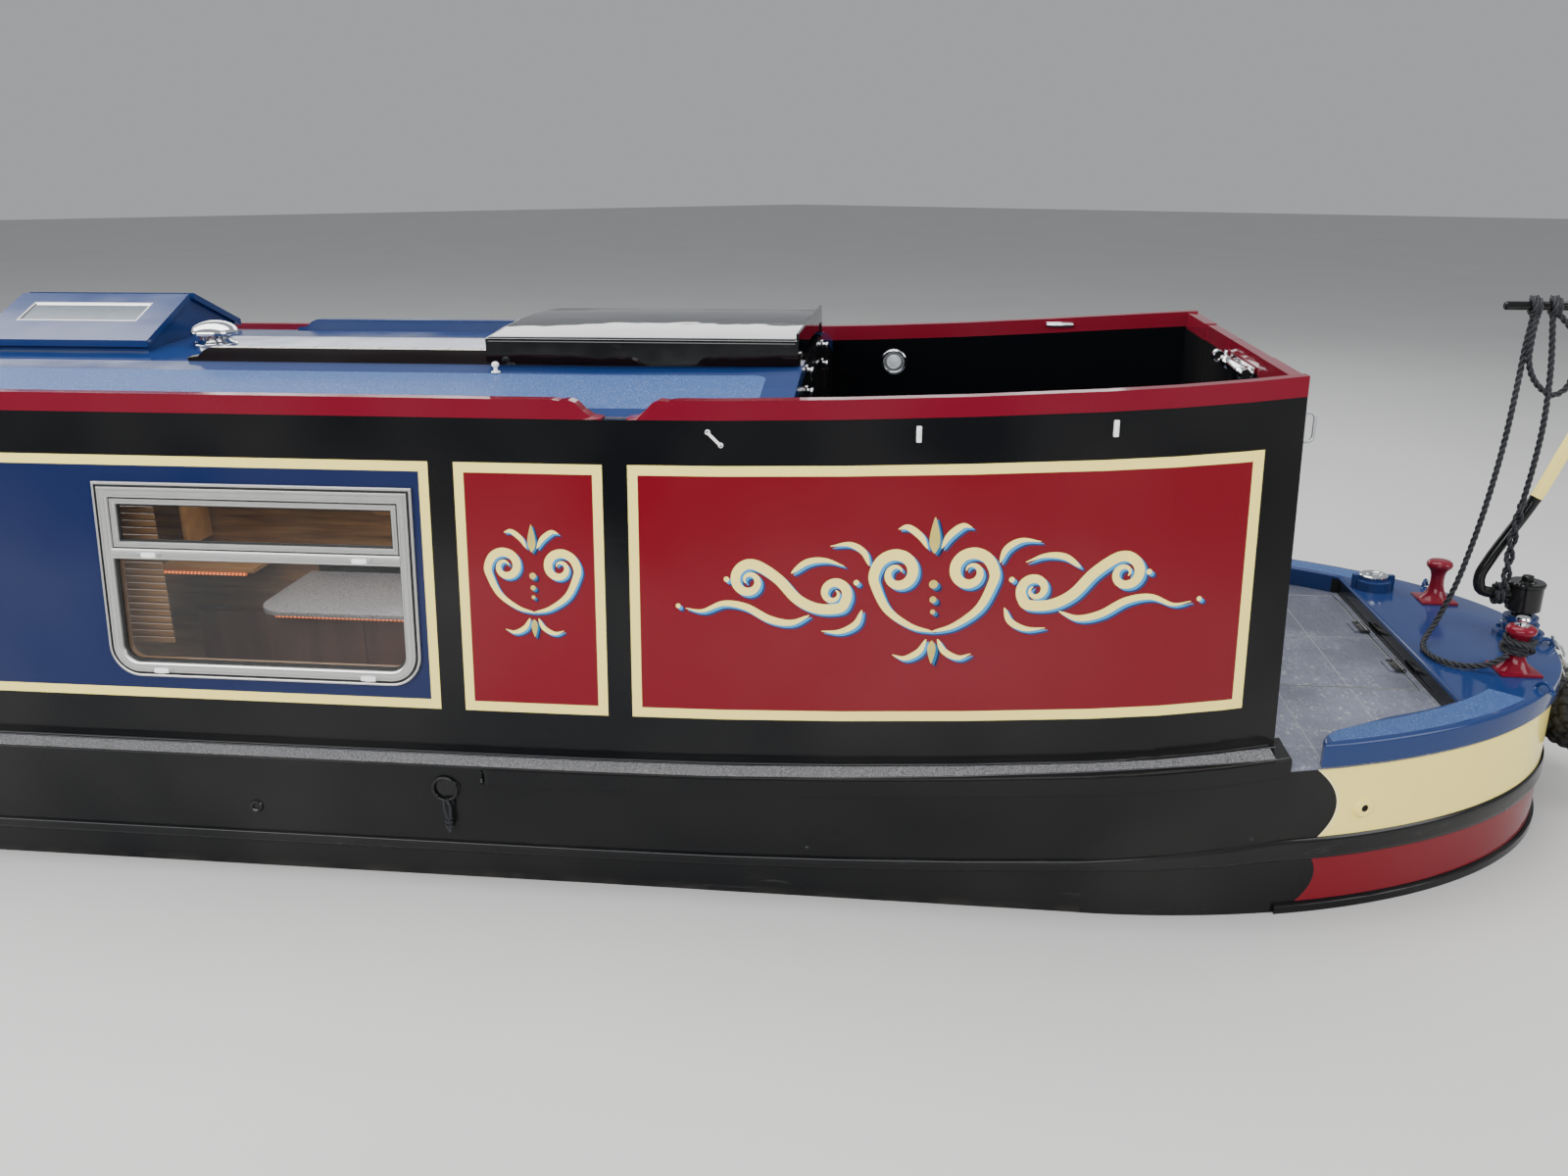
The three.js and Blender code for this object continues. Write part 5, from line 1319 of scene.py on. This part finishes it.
def boxLoop(low, high, by=0.0):
    (x0, y0), (x1, y1) = low, high
    return [(x0 + by, y0 + by), (x1 - by, y0 + by), (x1 - by, y1 - by), (x0 + by, y1 - by)]


def slabOf(loop, place, near, far):
    count = len(loop)
    points = [place(x, z, out) for out in (near, far) for x, z in loop]
    return points, [tuple(range(count)), tuple(range(count, 2 * count))[::-1], *flip(grid(2, count))]


def makeWindow(start, side, name):
    edge, wide, rail, high = (windows[key] for key in ("border", "wide", "rail", "high"))

    def place(x, z, out):
        return (start + x, side * (cabinOuter(0, z) + out), z)

    def looped(section, shape):
        return rings([[place(x, z, out) for x, z in shape(inset)] for inset, out in windows[section]])

    def hopper(by):
        return boxLoop((edge, rail + 0.016), (wide - edge, high - edge), by)

    bar = [place(x, rail + up, out) for x in (edge - 0.003, wide - edge + 0.003) for up, out in windows["bar"]]
    parts = [looped("frame", windowLoop), (bar, grid(2, len(windows["bar"]))), looped("hopper", hopper)]
    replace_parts(makePiece(f"{name}_frame", parts, "aluminium"), name)
    parts = [looped("rubber", lambda inset: windowLoop(inset, rail - 0.014)), looped("outer", windowLoop),
             looped("seal", hopper)]
    makePiece(f"{name}_rubber", parts, "rubber")
    upper = boxLoop((edge + 0.018, rail + 0.034), (wide - edge - 0.018, high - edge - 0.018))
    parts = [slabOf(windowLoop(edge - 0.002, rail - 0.012), place, -0.0060, -0.0120),
             slabOf(upper, place, -0.0040, -0.0100)]
    if side > 0:
        parts = [(points, [f[::-1] for f in faces]) for points, faces in parts]
    makePiece(f"{name}_panes", parts, "glass", smooth=False)
    makePiece(f"{name}_reveal", [looped("reveal", windowLoop)], "pine")
    covers, tabs = [], []
    for x, z in windows["caps"]:
        x, y = start + x, cabinOuter(0, z)

        def cap(wide, tall, out, edge, across=0.0):
            near, far = sorted((side * (y + 0.0105), side * (y + out)))
            return block((x + across - wide, near, z - tall), (x + across + wide, far, z + tall), edge)

        covers += [cap(0.023, 0.0072, 0.0195, 0.0030), cap(0.0125, 0.0078, 0.0215, 0.0034)]
        tabs += [cap(0.0065, 0.0052, 0.0140, 0.0012, s * 0.0290) for s in (-1, 1)]
        tabs += [screwHead((x + s * 0.0300, side * (y + 0.0138), z), "y", 0.0030, side) for s in (-1, 1)]
    makePiece(f"{name}_drain_caps", covers, "whitePlastic")
    makePiece(f"{name}_cap_tabs", tabs, "steelTrim")


for side, label in sides:
    for i, start in enumerate(windows["places"]):
        makeWindow(start, side, f"window_{label}_{i + 1}")
print("windows made")


# Fittings in and round the steering well
well = {
    "light": (6.433, 2.048), "cleat": (7.070, 0.797, 2.200), "latch": (7.5350, 2.196), "latchMiddle": -0.205,
    "guides": [(6.551, 2.100), (7.075, 2.125)], "strap": (5.985, 2.077), "handle": (7.575, 0.770, 2.122),
    "rim": [(0.052, 0.0), (0.052, 0.003), (0.050, 0.0065), (0.046, 0.0085), (0.041, 0.0085), (0.0385, 0.0060),
            (0.0375, 0.002)],
    "lens": [(0.0380, 0.002), (0.0285, 0.0025), (0.0280, 0.0055), (0.0240, 0.0070), (0.0225, 0.0050),
             (0.0120, 0.0080), (0.0, 0.0090)],
    "grip": [(0.001, 0.040), (0.022, 0.038), (0.029, 0.030), (0.030, 0.0), (0.029, -0.030), (0.022, -0.038),
             (0.001, -0.040)],
}


def lightPart(side, key, facets):
    # the cabin's sides lean inwards, and the lights with them
    x, z = well["light"]
    centre = Vector((x, side * (cabinOuter(x, z) - boat["wall"] - 0.0005), z))
    spin = Matrix.Rotation(side * math.atan(boat["lean"]), 3, "X")
    points, faces = turned([(r, -side * a) for r, a in well[key]], centre, facets, "y")
    return [spin @ (p - centre) + centre for p in points], faces


def makeWellFittings(side, label):
    # a round light on the inner wall
    makePiece(f"well_light_rim_{label}", [lightPart(side, "rim", 48)], "chrome")
    lens = lightPart(side, "lens", 40)
    makePiece(f"well_light_lens_{label}", [lens], ["steelTrim", "lens"],
              faceFinish=[0 if i < 40 else 1 for i in range(len(lens[1]))])
    for i, (x, z) in enumerate(well["guides"]):
        y = side * cabinOuter(x, z)
        low, high = sorted((y + side * 0.0004, y + side * 0.009))
        parts = [block((x - 0.0075, low, z - 0.023), (x + 0.0075, high, z + 0.023), 0.0035),
                 capsule((x, y + side * 0.011, z + 0.004), "z", 0.026, 0.0042)]
        parts += [screwHead((x, y + side * 0.0088, z + s * 0.018), "y", 0.0026, side) for s in (-1, 1)]
        makePiece(f"cover_stud_{label}_{i + 1}", parts, "whitePlastic")
    x, z = well["strap"]
    y = side * cabinOuter(x, z)
    a, b = (Vector((x - s * 0.018, y + side * 0.006, z + s * 0.018)) for s in (1, -1))
    parts = [tube([a.lerp(b, i / 6) for i in range(7)], 0.0045, 14)]
    parts += [turned([(0.0075, 0), (0.0075, side * 0.003), (0.004, side * 0.0055)], (p.x, y, p.z), 20, "y")
              for p in (a, b)]
    makePiece(f"cover_hook_{label}", parts, "whitePlastic")
    # grab handle on the corner of the after wall
    x, y, z = well["handle"]
    parts = [tube(curveThrough([(x + out, side * y, z + up) for out, up in well["grip"]], 0.004), 0.0048, 14)]
    parts += [turned([(0.012, 0.0005), (0.012, 0.003), (0.008, 0.0045)], (x, side * y, z + s * 0.040), 20, "x")
              for s in (-1, 1)]
    makePiece(f"corner_handle_{label}", parts, "galvanised")


def makeRailCleat():
    # on the inner face of the starboard coaming
    x, y, z = well["cleat"]
    parts = [block((x - 0.050, y - 0.003, z - 0.009), (x + 0.050, y, z + 0.009), 0.0012),
             capsule((x, y - 0.017, z), "x", 0.104, 0.0060)]
    parts += [turned([(0.0085, -0.002), (0.0055, -0.007), (0.0055, -0.015)], (x + s * 0.030, y, z), 20, "y")
              for s in (-1, 1)]
    makePiece("rail_cleat", parts, "chrome")


# Latch, catches and knobs; profiles are [radius, along]
doors = {
    "bolt": [(0.0, -0.150), (0.015, -0.150), (0.0165, -0.146), (0.0165, 0.146), (0.015, 0.150), (0, 0.150)],
    "guide": [(0.0165, 0.0), (0.0200, 0.002), (0.0200, 0.024), (0.0165, 0.026)],
    "keeper": [(0.0165, 0.020), (0.020, 0.023), (0.020, 0.048), (0.0165, 0.051), (0.0150, 0.051), (0.0150, 0.020),
               (0.0165, 0.020)],
    "catches": [(2.185, 0.030), (2.120, 0.055)], "foot": [(0.010, 0.001), (0.010, 0.004), (0.005, 0.010)],
    "knob": [(0.0, -0.046), (0.014, -0.045), (0.022, -0.038), (0.024, -0.030), (0.018, -0.022), (0.009, -0.016),
             (0.009, -0.006), (0.020, -0.004), (0.020, -0.0005)],
    "light": [(-0.012, -0.0003), (-0.012, -0.007), (-0.004, -0.009), (0.006, -0.009), (0.008, -0.0003)],
}


def makeAfterLatch():
    # tubular latch across the after doors' inner face
    x, z = well["latch"]
    back, y = x + 0.002, well["latchMiddle"]
    parts = [turned(doors["bolt"], (back - 0.025, y, z), 32, "y"),
             block((back - 0.006, y - 0.155, z - 0.020), (back, y + 0.155, z + 0.020), 0.0015),
             block((back - 0.030, y - 0.030, z - 0.048), (back - 0.012, y + 0.004, z - 0.012), 0.003)]
    parts += [turned(doors["guide"], (back - 0.025, y + s - 0.013, z), 32, "y") for s in (-0.095, 0.095)]
    makePiece("aft_door_latch", parts, "chrome", "aft_door_port")
    parts = [block((back - 0.006, 0.012, z - 0.018), (back, 0.060, z + 0.018), 0.0015),
             turned(doors["keeper"], (back - 0.025, 0, z), 28, "y")]
    makePiece("aft_door_keeper", parts, "chrome", "aft_door_starboard")


def makeDoorFurniture(side, label):
    face, parts = boat["rear"], []
    for z, drop in doors["catches"]:
        y = side * 0.292
        parts += [block((face, y - 0.022, z - 0.014), (face + 0.004, y + 0.022, z + 0.014), 0.0015),
                  capsule((face + 0.016, y, z), "y", 0.052, 0.0065),
                  turned([(0.0045, 0.002), (0.0045, 0.016)], (face, y, z), 16, "x"),
                  tube([(face + 0.016, y + side * 0.016, z - drop * i / 6) for i in range(7)], 0.004, 12)]
    parts.append(capsule((face + 0.010, side * 0.245, 1.75), "z", 0.120, 0.007))
    parts += [turned(doors["foot"], (face, side * 0.245, 1.75 + s * 0.045), 16, "x") for s in (-1, 1)]
    makePiece(f"rear_door_catches_{label}", parts, "chrome", f"rear_door_{label}")
    front, door = boat["front"], f"front_door_{label}"
    knob = turned(doors["knob"], (front, side * 0.040, 1.45), 32, "x")
    makePiece(f"front_door_knob_{label}", [knob], "brass", door)
    y0, y1 = sorted((side * 0.085, side * 0.215))

    def framed(by, off):
        return [(front + off, *at) for at in boxLoop((y0, 1.56), (y1, 1.90), by)]

    makePiece(f"front_door_light_{label}", [rings([framed(*pair) for pair in doors["light"]])], "brass", door)
    # an opaque dark pane: painted shade for the unlit cabin behind the door's glass
    makePiece(f"front_door_pane_{label}", [(framed(0.0, -0.0025), [(0, 1, 2, 3)])], "darkGlass", door)


for side, label in reversed(sides):
    makeWellFittings(side, label)
makeRailCleat()
makeAfterLatch()
for side, label in sides:
    makeDoorFurniture(side, label)
print("well fitted")


# Galley lights and the cabin's far shelf, seen through the after window; blocks are [low, high, rounded edge]
interior = {
    "galley": [((3.900, 0.355, 0.158), (5.280, 0.870, 1.060), 0.002),
               ((3.320, 0.420, 0.158), (3.840, 0.870, 0.560), 0.012),
               ((3.320, 0.800, 0.560), (3.840, 0.870, 0.900), 0.012)],
    "wall_lining": [((2.300, 0.866, 0.162), (3.885, 0.878, 1.142), 0.002)],
    "worktop_lights": [((3.945, 0.3490, 1.0470), (5.100, 0.3545, 1.0560), 0.0006)],
    "galley_shelf": [((2.90, 0.640, 1.560), (5.60, 0.846, 1.590), 0.004),
                     ((3.40, 0.660, 1.240), (3.42, 0.850, 1.562), 0.002),
                     ((5.10, 0.660, 1.240), (5.12, 0.850, 1.562), 0.002),
                     ((3.300, 0.604, 1.146), (3.730, 0.850, 1.166), 0.002)],
    "shelf_lights": [((3.320, 0.597, 1.1365), (3.700, 0.606, 1.1455), 0.0006)],
    # thin timber slats, drawn to the window's fore side
    "slatted_blind": [((4.060, -0.762, 1.3715 + 0.0225 * i), (4.226, -0.756, 1.3885 + 0.0225 * i), 0.0015)
                      for i in range(24)],
    "worktop": [(5.300, 0.335), (5.300, 0.870), (3.850, 0.870)], "corner": 0.130,
    "tap": [(4.70, 0.70, 1.079), (4.70, 0.70, 1.20), (4.70, 0.685, 1.27), (4.70, 0.640, 1.30), (4.70, 0.595, 1.28),
            (4.70, 0.585, 1.245)],
}


def makeInterior():
    low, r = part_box("cabin_floor")[0], interior["corner"]
    top = interior["worktop"] + [(3.850 + r - r * math.cos(a), 0.335 + r - r * math.sin(a))
                                 for a in (math.pi * i / 24 for i in range(13))]
    unit, *lower = (block(*one) for one in interior["galley"])
    parts = [block((low[0], -0.880, low[2]), (6.245, 0.880, 0.160), 0.002), unit,
             prism(top, [], 1.058, 1.078, 0.005), *lower]
    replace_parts(makePiece("galley", parts, "lining"), "cabin_floor")
    for name, finish in (("wall_lining", "oak"), ("worktop_lights", "lamp"), ("galley_shelf", "pine"),
                         ("shelf_lights", "lamp"), ("slatted_blind", "pine")):
        makePiece(name, [block(*one) for one in interior[name]], finish)
    foot = turned([(0.026, 0), (0.026, 0.006), (0.014, 0.020)], (4.70, 0.70, 1.0785), 28)
    makePiece("galley_tap", [tube(curveThrough(interior["tap"], 0.008), 0.010), foot], "chrome")


makeInterior()
print("interior made")


# Hull side: weld bead where the strake begins, skin fittings, lashing eye and the rope on it
hullBits = {
    "skin": (4.577, 0.954), "eye": (5.185, 1.049), "outlet": (7.835, 1.060), "weld": 5.300,
    "marks": [(6.263, 0.906), (7.516, 0.986)],
    "ring": [(0.0, 0.002), (0.008, 0.002), (0.009, 0.006), (0.013, 0.009), (0.018, 0.008), (0.021, 0.004),
             (0.022, 0.0)],
    "disc": [(0.0, 0.001), (0.0095, 0.001), (0.0105, 0.008), (0.014, 0.011), (0.026, 0.0095), (0.030, 0.005),
             (0.031, 0.0)],
    "plug": [(0.0, 0.0025), (0.005, 0.0025), (0.0075, 0.0015), (0.009, 0.0)],
    "plate": [(0.0, 0.004), (0.040, 0.004), (0.043, 0.0)],
    # the lashing's two falls, from the eye
    "falls": [[(0.004, 0.0, -0.030), (0.014, -0.004, -0.052), (0.012, -0.004, -0.085), (0.006, -0.001, -0.110),
               (0.004, 0.001, -0.140)],
              [(-0.004, 0.0, -0.030), (-0.003, -0.004, -0.060), (0.004, -0.006, -0.088), (0.008, -0.002, -0.112),
               (0.005, 0.003, -0.140)]],
}


def sideways(x, z):
    # the hull's skin at a place, and the way out of it
    here, ahead = (hullPoint(p, z) if x < 7.6 else Vector((p, halfAt(p), z)) for p in (x, x - 0.01))
    run = (here - ahead).normalized()
    return here, Vector((-run.y, run.x, 0)).normalized()


def facing(part, place, side):
    # a part turned about its own y axis, set on the hull's skin facing outwards
    here, out = sideways(*place)
    spin = Matrix.Rotation(math.atan2(-out.x, out.y), 3, "Z")
    points = [spin @ p + here for p in part[0]]
    return [Vector((p.x, p.y * side, p.z)) for p in points], [f[::-1] for f in part[1]] if side < 0 else part[1]


def makeHullFittings(side, label):
    def boss(key, place, facets):
        return facing(turned(hullBits[key], (0, 0, 0), facets, "y"), place, side)

    makePiece(f"skin_fitting_{label}", [boss("ring", hullBits["skin"], 36)], "black")
    disc = boss("disc", hullBits["outlet"], 44)
    makePiece(f"outlet_{label}", [disc], ["cream", "rubber"],
              faceFinish=[1 if i < 88 else 0 for i in range(len(disc[1]))])
    makePiece(f"skin_plugs_{label}", [boss("plug", place, 24) for place in hullBits["marks"]], "black")
    eye = closedTube([spoke((0, 0.010, 0), 0.036, a, "y") for a in turnsOf(40)], 0.0055, 12)
    parts = [facing(eye, hullBits["eye"], side), boss("plate", hullBits["eye"], 44)]
    makePiece(f"lashing_eye_{label}", parts, "black")
    here, out = sideways(hullBits["weld"], hullTop(hullBits["weld"]) - 0.03)
    bead = [here + out * (0.0035 + 0.004 * math.sin(math.pi * i / 18))
            + Vector((0, 0, mix(-0.021, 0.024, i / 18))) for i in range(19)]
    bead = [Vector((p.x, side * p.y, p.z)) for p in bead]
    bead = sweep(bead, 10, lambda i, a: 0.0042 + 0.0011 * math.sin(i * 2.1))
    makePiece(f"strake_weld_{label}", [bead], "black")


def makeEyeLashing():
    # the short lashing that hangs from the port eye: two falls and the turns round them
    x, z = hullBits["eye"]
    at = Vector((x, -sideways(x, z)[0].y - 0.016, z))
    parts = [laidRope(curveThrough([at + Vector(p) for p in fall], 0.003), 0.0048) for fall in hullBits["falls"]]
    wrap = [at + Vector((0.007 + 0.009 * math.cos(a), 0.008 * math.sin(a) - 0.002, -0.092 - 0.0022 * a))
            for a in (i * 0.35 for i in range(46))]
    ropePiece("eye_lashing", [*parts, laidRope(evenLine(wrap, 0.003), 0.0036)])


for side, label in sides:
    makeHullFittings(side, label)
makeEyeLashing()
print("hull fittings made")


# Roof: the hatch's skin, mushroom vents, cover studs by the hatch, pigeon-box panes and their trim
roof = {
    "hatchFrom": 5.200, "hatchTo": 6.168, "half": 0.424, "edge": 2.290, "crown": 0.018, "roll": 0.009,
    "cap": [(0, 0.0340), (0.072, 0.0342), (0.0765, 0.0362), (0.0780, 0.0400), (0.0775, 0.0450), (0.0740, 0.0525),
            (0.0670, 0.0605), (0.0570, 0.0675), (0.0430, 0.0740), (0.0270, 0.0780), (0.0120, 0.0797), (0, 0.0800)],
    "foot": [(0, -0.010), (0.0715, -0.010), (0.0725, 0.004), (0.0690, 0.0075), (0.0560, 0.0100), (0.0500, 0.0150),
             (0.0470, 0.0180), (0, 0.0180)],
    "vents": [("aft", 4.161, -0.165), ("fore", -2.600, 0.0)],
    "stud": [(0.014, 0.0), (0.014, 0.004), (0.006, 0.007), (0.006, 0.016), (0.011, 0.020), (0.011, 0.028),
             (0.006, 0.033), (0.0, 0.033)],
    "studAt": (5.244, 0.474), "lidTop": 2.363, "lidSlope": 0.120 / 0.280, "lidOut": 0.0146,
    "pane": ((3.461, 0.072), (3.901, 0.188)),
    "trim": [(0.0008, 0.001), (0.0008, 0.0075), (0.007, 0.0075), (0.009, 0.001)],
}


def makeHatchSkin():
    # the hatch's smooth crowned sheet with a rolled edge, over its box
    x0, x1, half, edge, roll = (roof[key] for key in ("hatchFrom", "hatchTo", "half", "edge", "roll"))
    rows = [(x0 - 0.0008, -roll), (x0 - 0.0008, -roll * 0.55), (x0 + roll * 0.25, -roll * 0.12),
            (x0 + roll, 0.0), (mix(x0, x1, 0.35), 0.0), (mix(x0, x1, 0.7), 0.0), (x1, 0.0)]
    points = []
    for x, sink in rows:
        shoulder = [(half + 0.0008, edge - roll), (half + 0.0008 - roll * 0.28, edge - roll * 0.25 + sink)]
        sheet = [(half - roll) * (k / 14 - 1) for k in range(29)]
        points += [(x, -y, z) for y, z in shoulder]
        points += [(x, y, edge + roof["crown"] * (1 - (y / half) ** 2) + 0.0010 + sink) for y in sheet]
        points += [(x, y, z) for y, z in reversed(shoulder)]
    makePiece("hatch_skin", [(points, flip(grid(len(rows), 33, False)))], "hatch", "hatch")


def makeVents():
    # a dished flange, a slotted neck and a spun cap
    for name, x, y in roof["vents"]:
        z = roofTop(x, y)
        parts = [turned(roof["foot"], (x, y, z), 64), turned(roof["cap"], (x, y, z), 64),
                 turned([(0.030, 0.016), (0.030, 0.036)], (x, y, z), 40)]
        for i, a in enumerate(turnsOf(12)):
            parts.append(turned([(0.0042, 0.016), (0.0042, 0.0355)], spoke((x, y, z), 0.0435, a), 10))
            if i % 3 == 0:
                parts.append(screwHead(spoke((x, y, z + 0.0085), 0.0625, a + 0.26), "z", 0.0042))
        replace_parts(makePiece(f"vent_{name}", parts, "chrome"), f"roof_vent_{name}")


def makeRoofFittings(side, label):
    x, y = roof["studAt"]
    stud = turned(roof["stud"], (x, side * y, roofTop(x, side * y)), 24)
    makePiece(f"hatch_stud_{label}", [stud], "whitePlastic")

    def onLid(by, lift):
        return [(x, side * y, roof["lidTop"] - roof["lidSlope"] * y + roof["lidOut"] + lift)
                for x, y in boxLoop(*roof["pane"], by)]

    lid = f"pigeon_lid_{label}"
    # an opaque pane whose blue-grey is painted shade with a painted sky reflection
    makePiece(f"pigeon_pane_{label}", [(onLid(0.0, 0.0015), [(0, 1, 2, 3)])], "skyGlass", lid)
    makePiece(f"pigeon_trim_{label}", [rings([onLid(*pair) for pair in roof["trim"]])], "aluminium", lid)


makeHatchSkin()
makeVents()
for side, label in sides:
    makeRoofFittings(side, label)
print("roof fitted")


# Deck: board hinges, edge trim and lifting rings, and the filler's cap
deck = {
    "top": 1.205, "hinges": [0.200, -0.170], "board": ((7.650, -0.360), (8.146, 0.560)), "rings": (-0.22, 0.42),
    "trim": [(0.0006, 0.0001), (0.0006, 0.0012), (0.0030, 0.0012), (0.0034, 0.0001)],
    "dish": [(0.0, 0.0002), (0.012, 0.0004), (0.016, 0.0022), (0.024, 0.0022), (0.026, 0.0002)],
    "filler": (8.250, 0.460, 1.3235),
    "fillerCap": [(0.050, 0.0), (0.050, 0.004), (0.047, 0.007), (0.030, 0.0085), (0.028, 0.0065), (0.0, 0.0068)],
}


def makeDeckFittings():
    top = deck["top"]
    parts = []
    for y in deck["hinges"]:
        parts.append(block((8.122, y - 0.052, top + 0.0045), (8.148, y + 0.052, top + 0.0075), 0.0012))
        parts += [screwHead((8.131, y + s * 0.034, top + 0.0073), "z") for s in (-1, 0, 1)]
        for low in (y - 0.049 + k * 0.0197 for k in range(5)):
            knuckle = [(0.004, low), (0.0072, low + 0.0006), (0.0072, low + 0.0184), (0.004, low + 0.019)]
            parts.append(turned(knuckle, (8.150, 0, top + 0.006), 20, "y"))
    makePiece("board_hinges", parts, "black", "board")
    trim = [[(x, y, top + up) for x, y in boxLoop(*deck["board"], by)] for by, up in deck["trim"]]
    makePiece("board_trim", [rings(trim)], "steelTrim", "board")
    parts = []
    for y in deck["rings"]:
        parts.append(turned(deck["dish"], (7.720, y, top), 32))
        parts.append(closedTube([spoke((7.720, y, top + 0.003), 0.011, a) for a in turnsOf(28)], 0.0018))
    makePiece("lifting_rings", parts, "chrome", "board")
    x, y, z = deck["filler"]
    bar = block((x - 0.026, y - 0.005, z + 0.006), (x + 0.026, y + 0.005, z + 0.012), 0.0022)
    makePiece("filler_cap", [turned(deck["fillerCap"], (x, y, z), 48), bar], "chrome")


makeDeckFittings()
print("deck fitted")
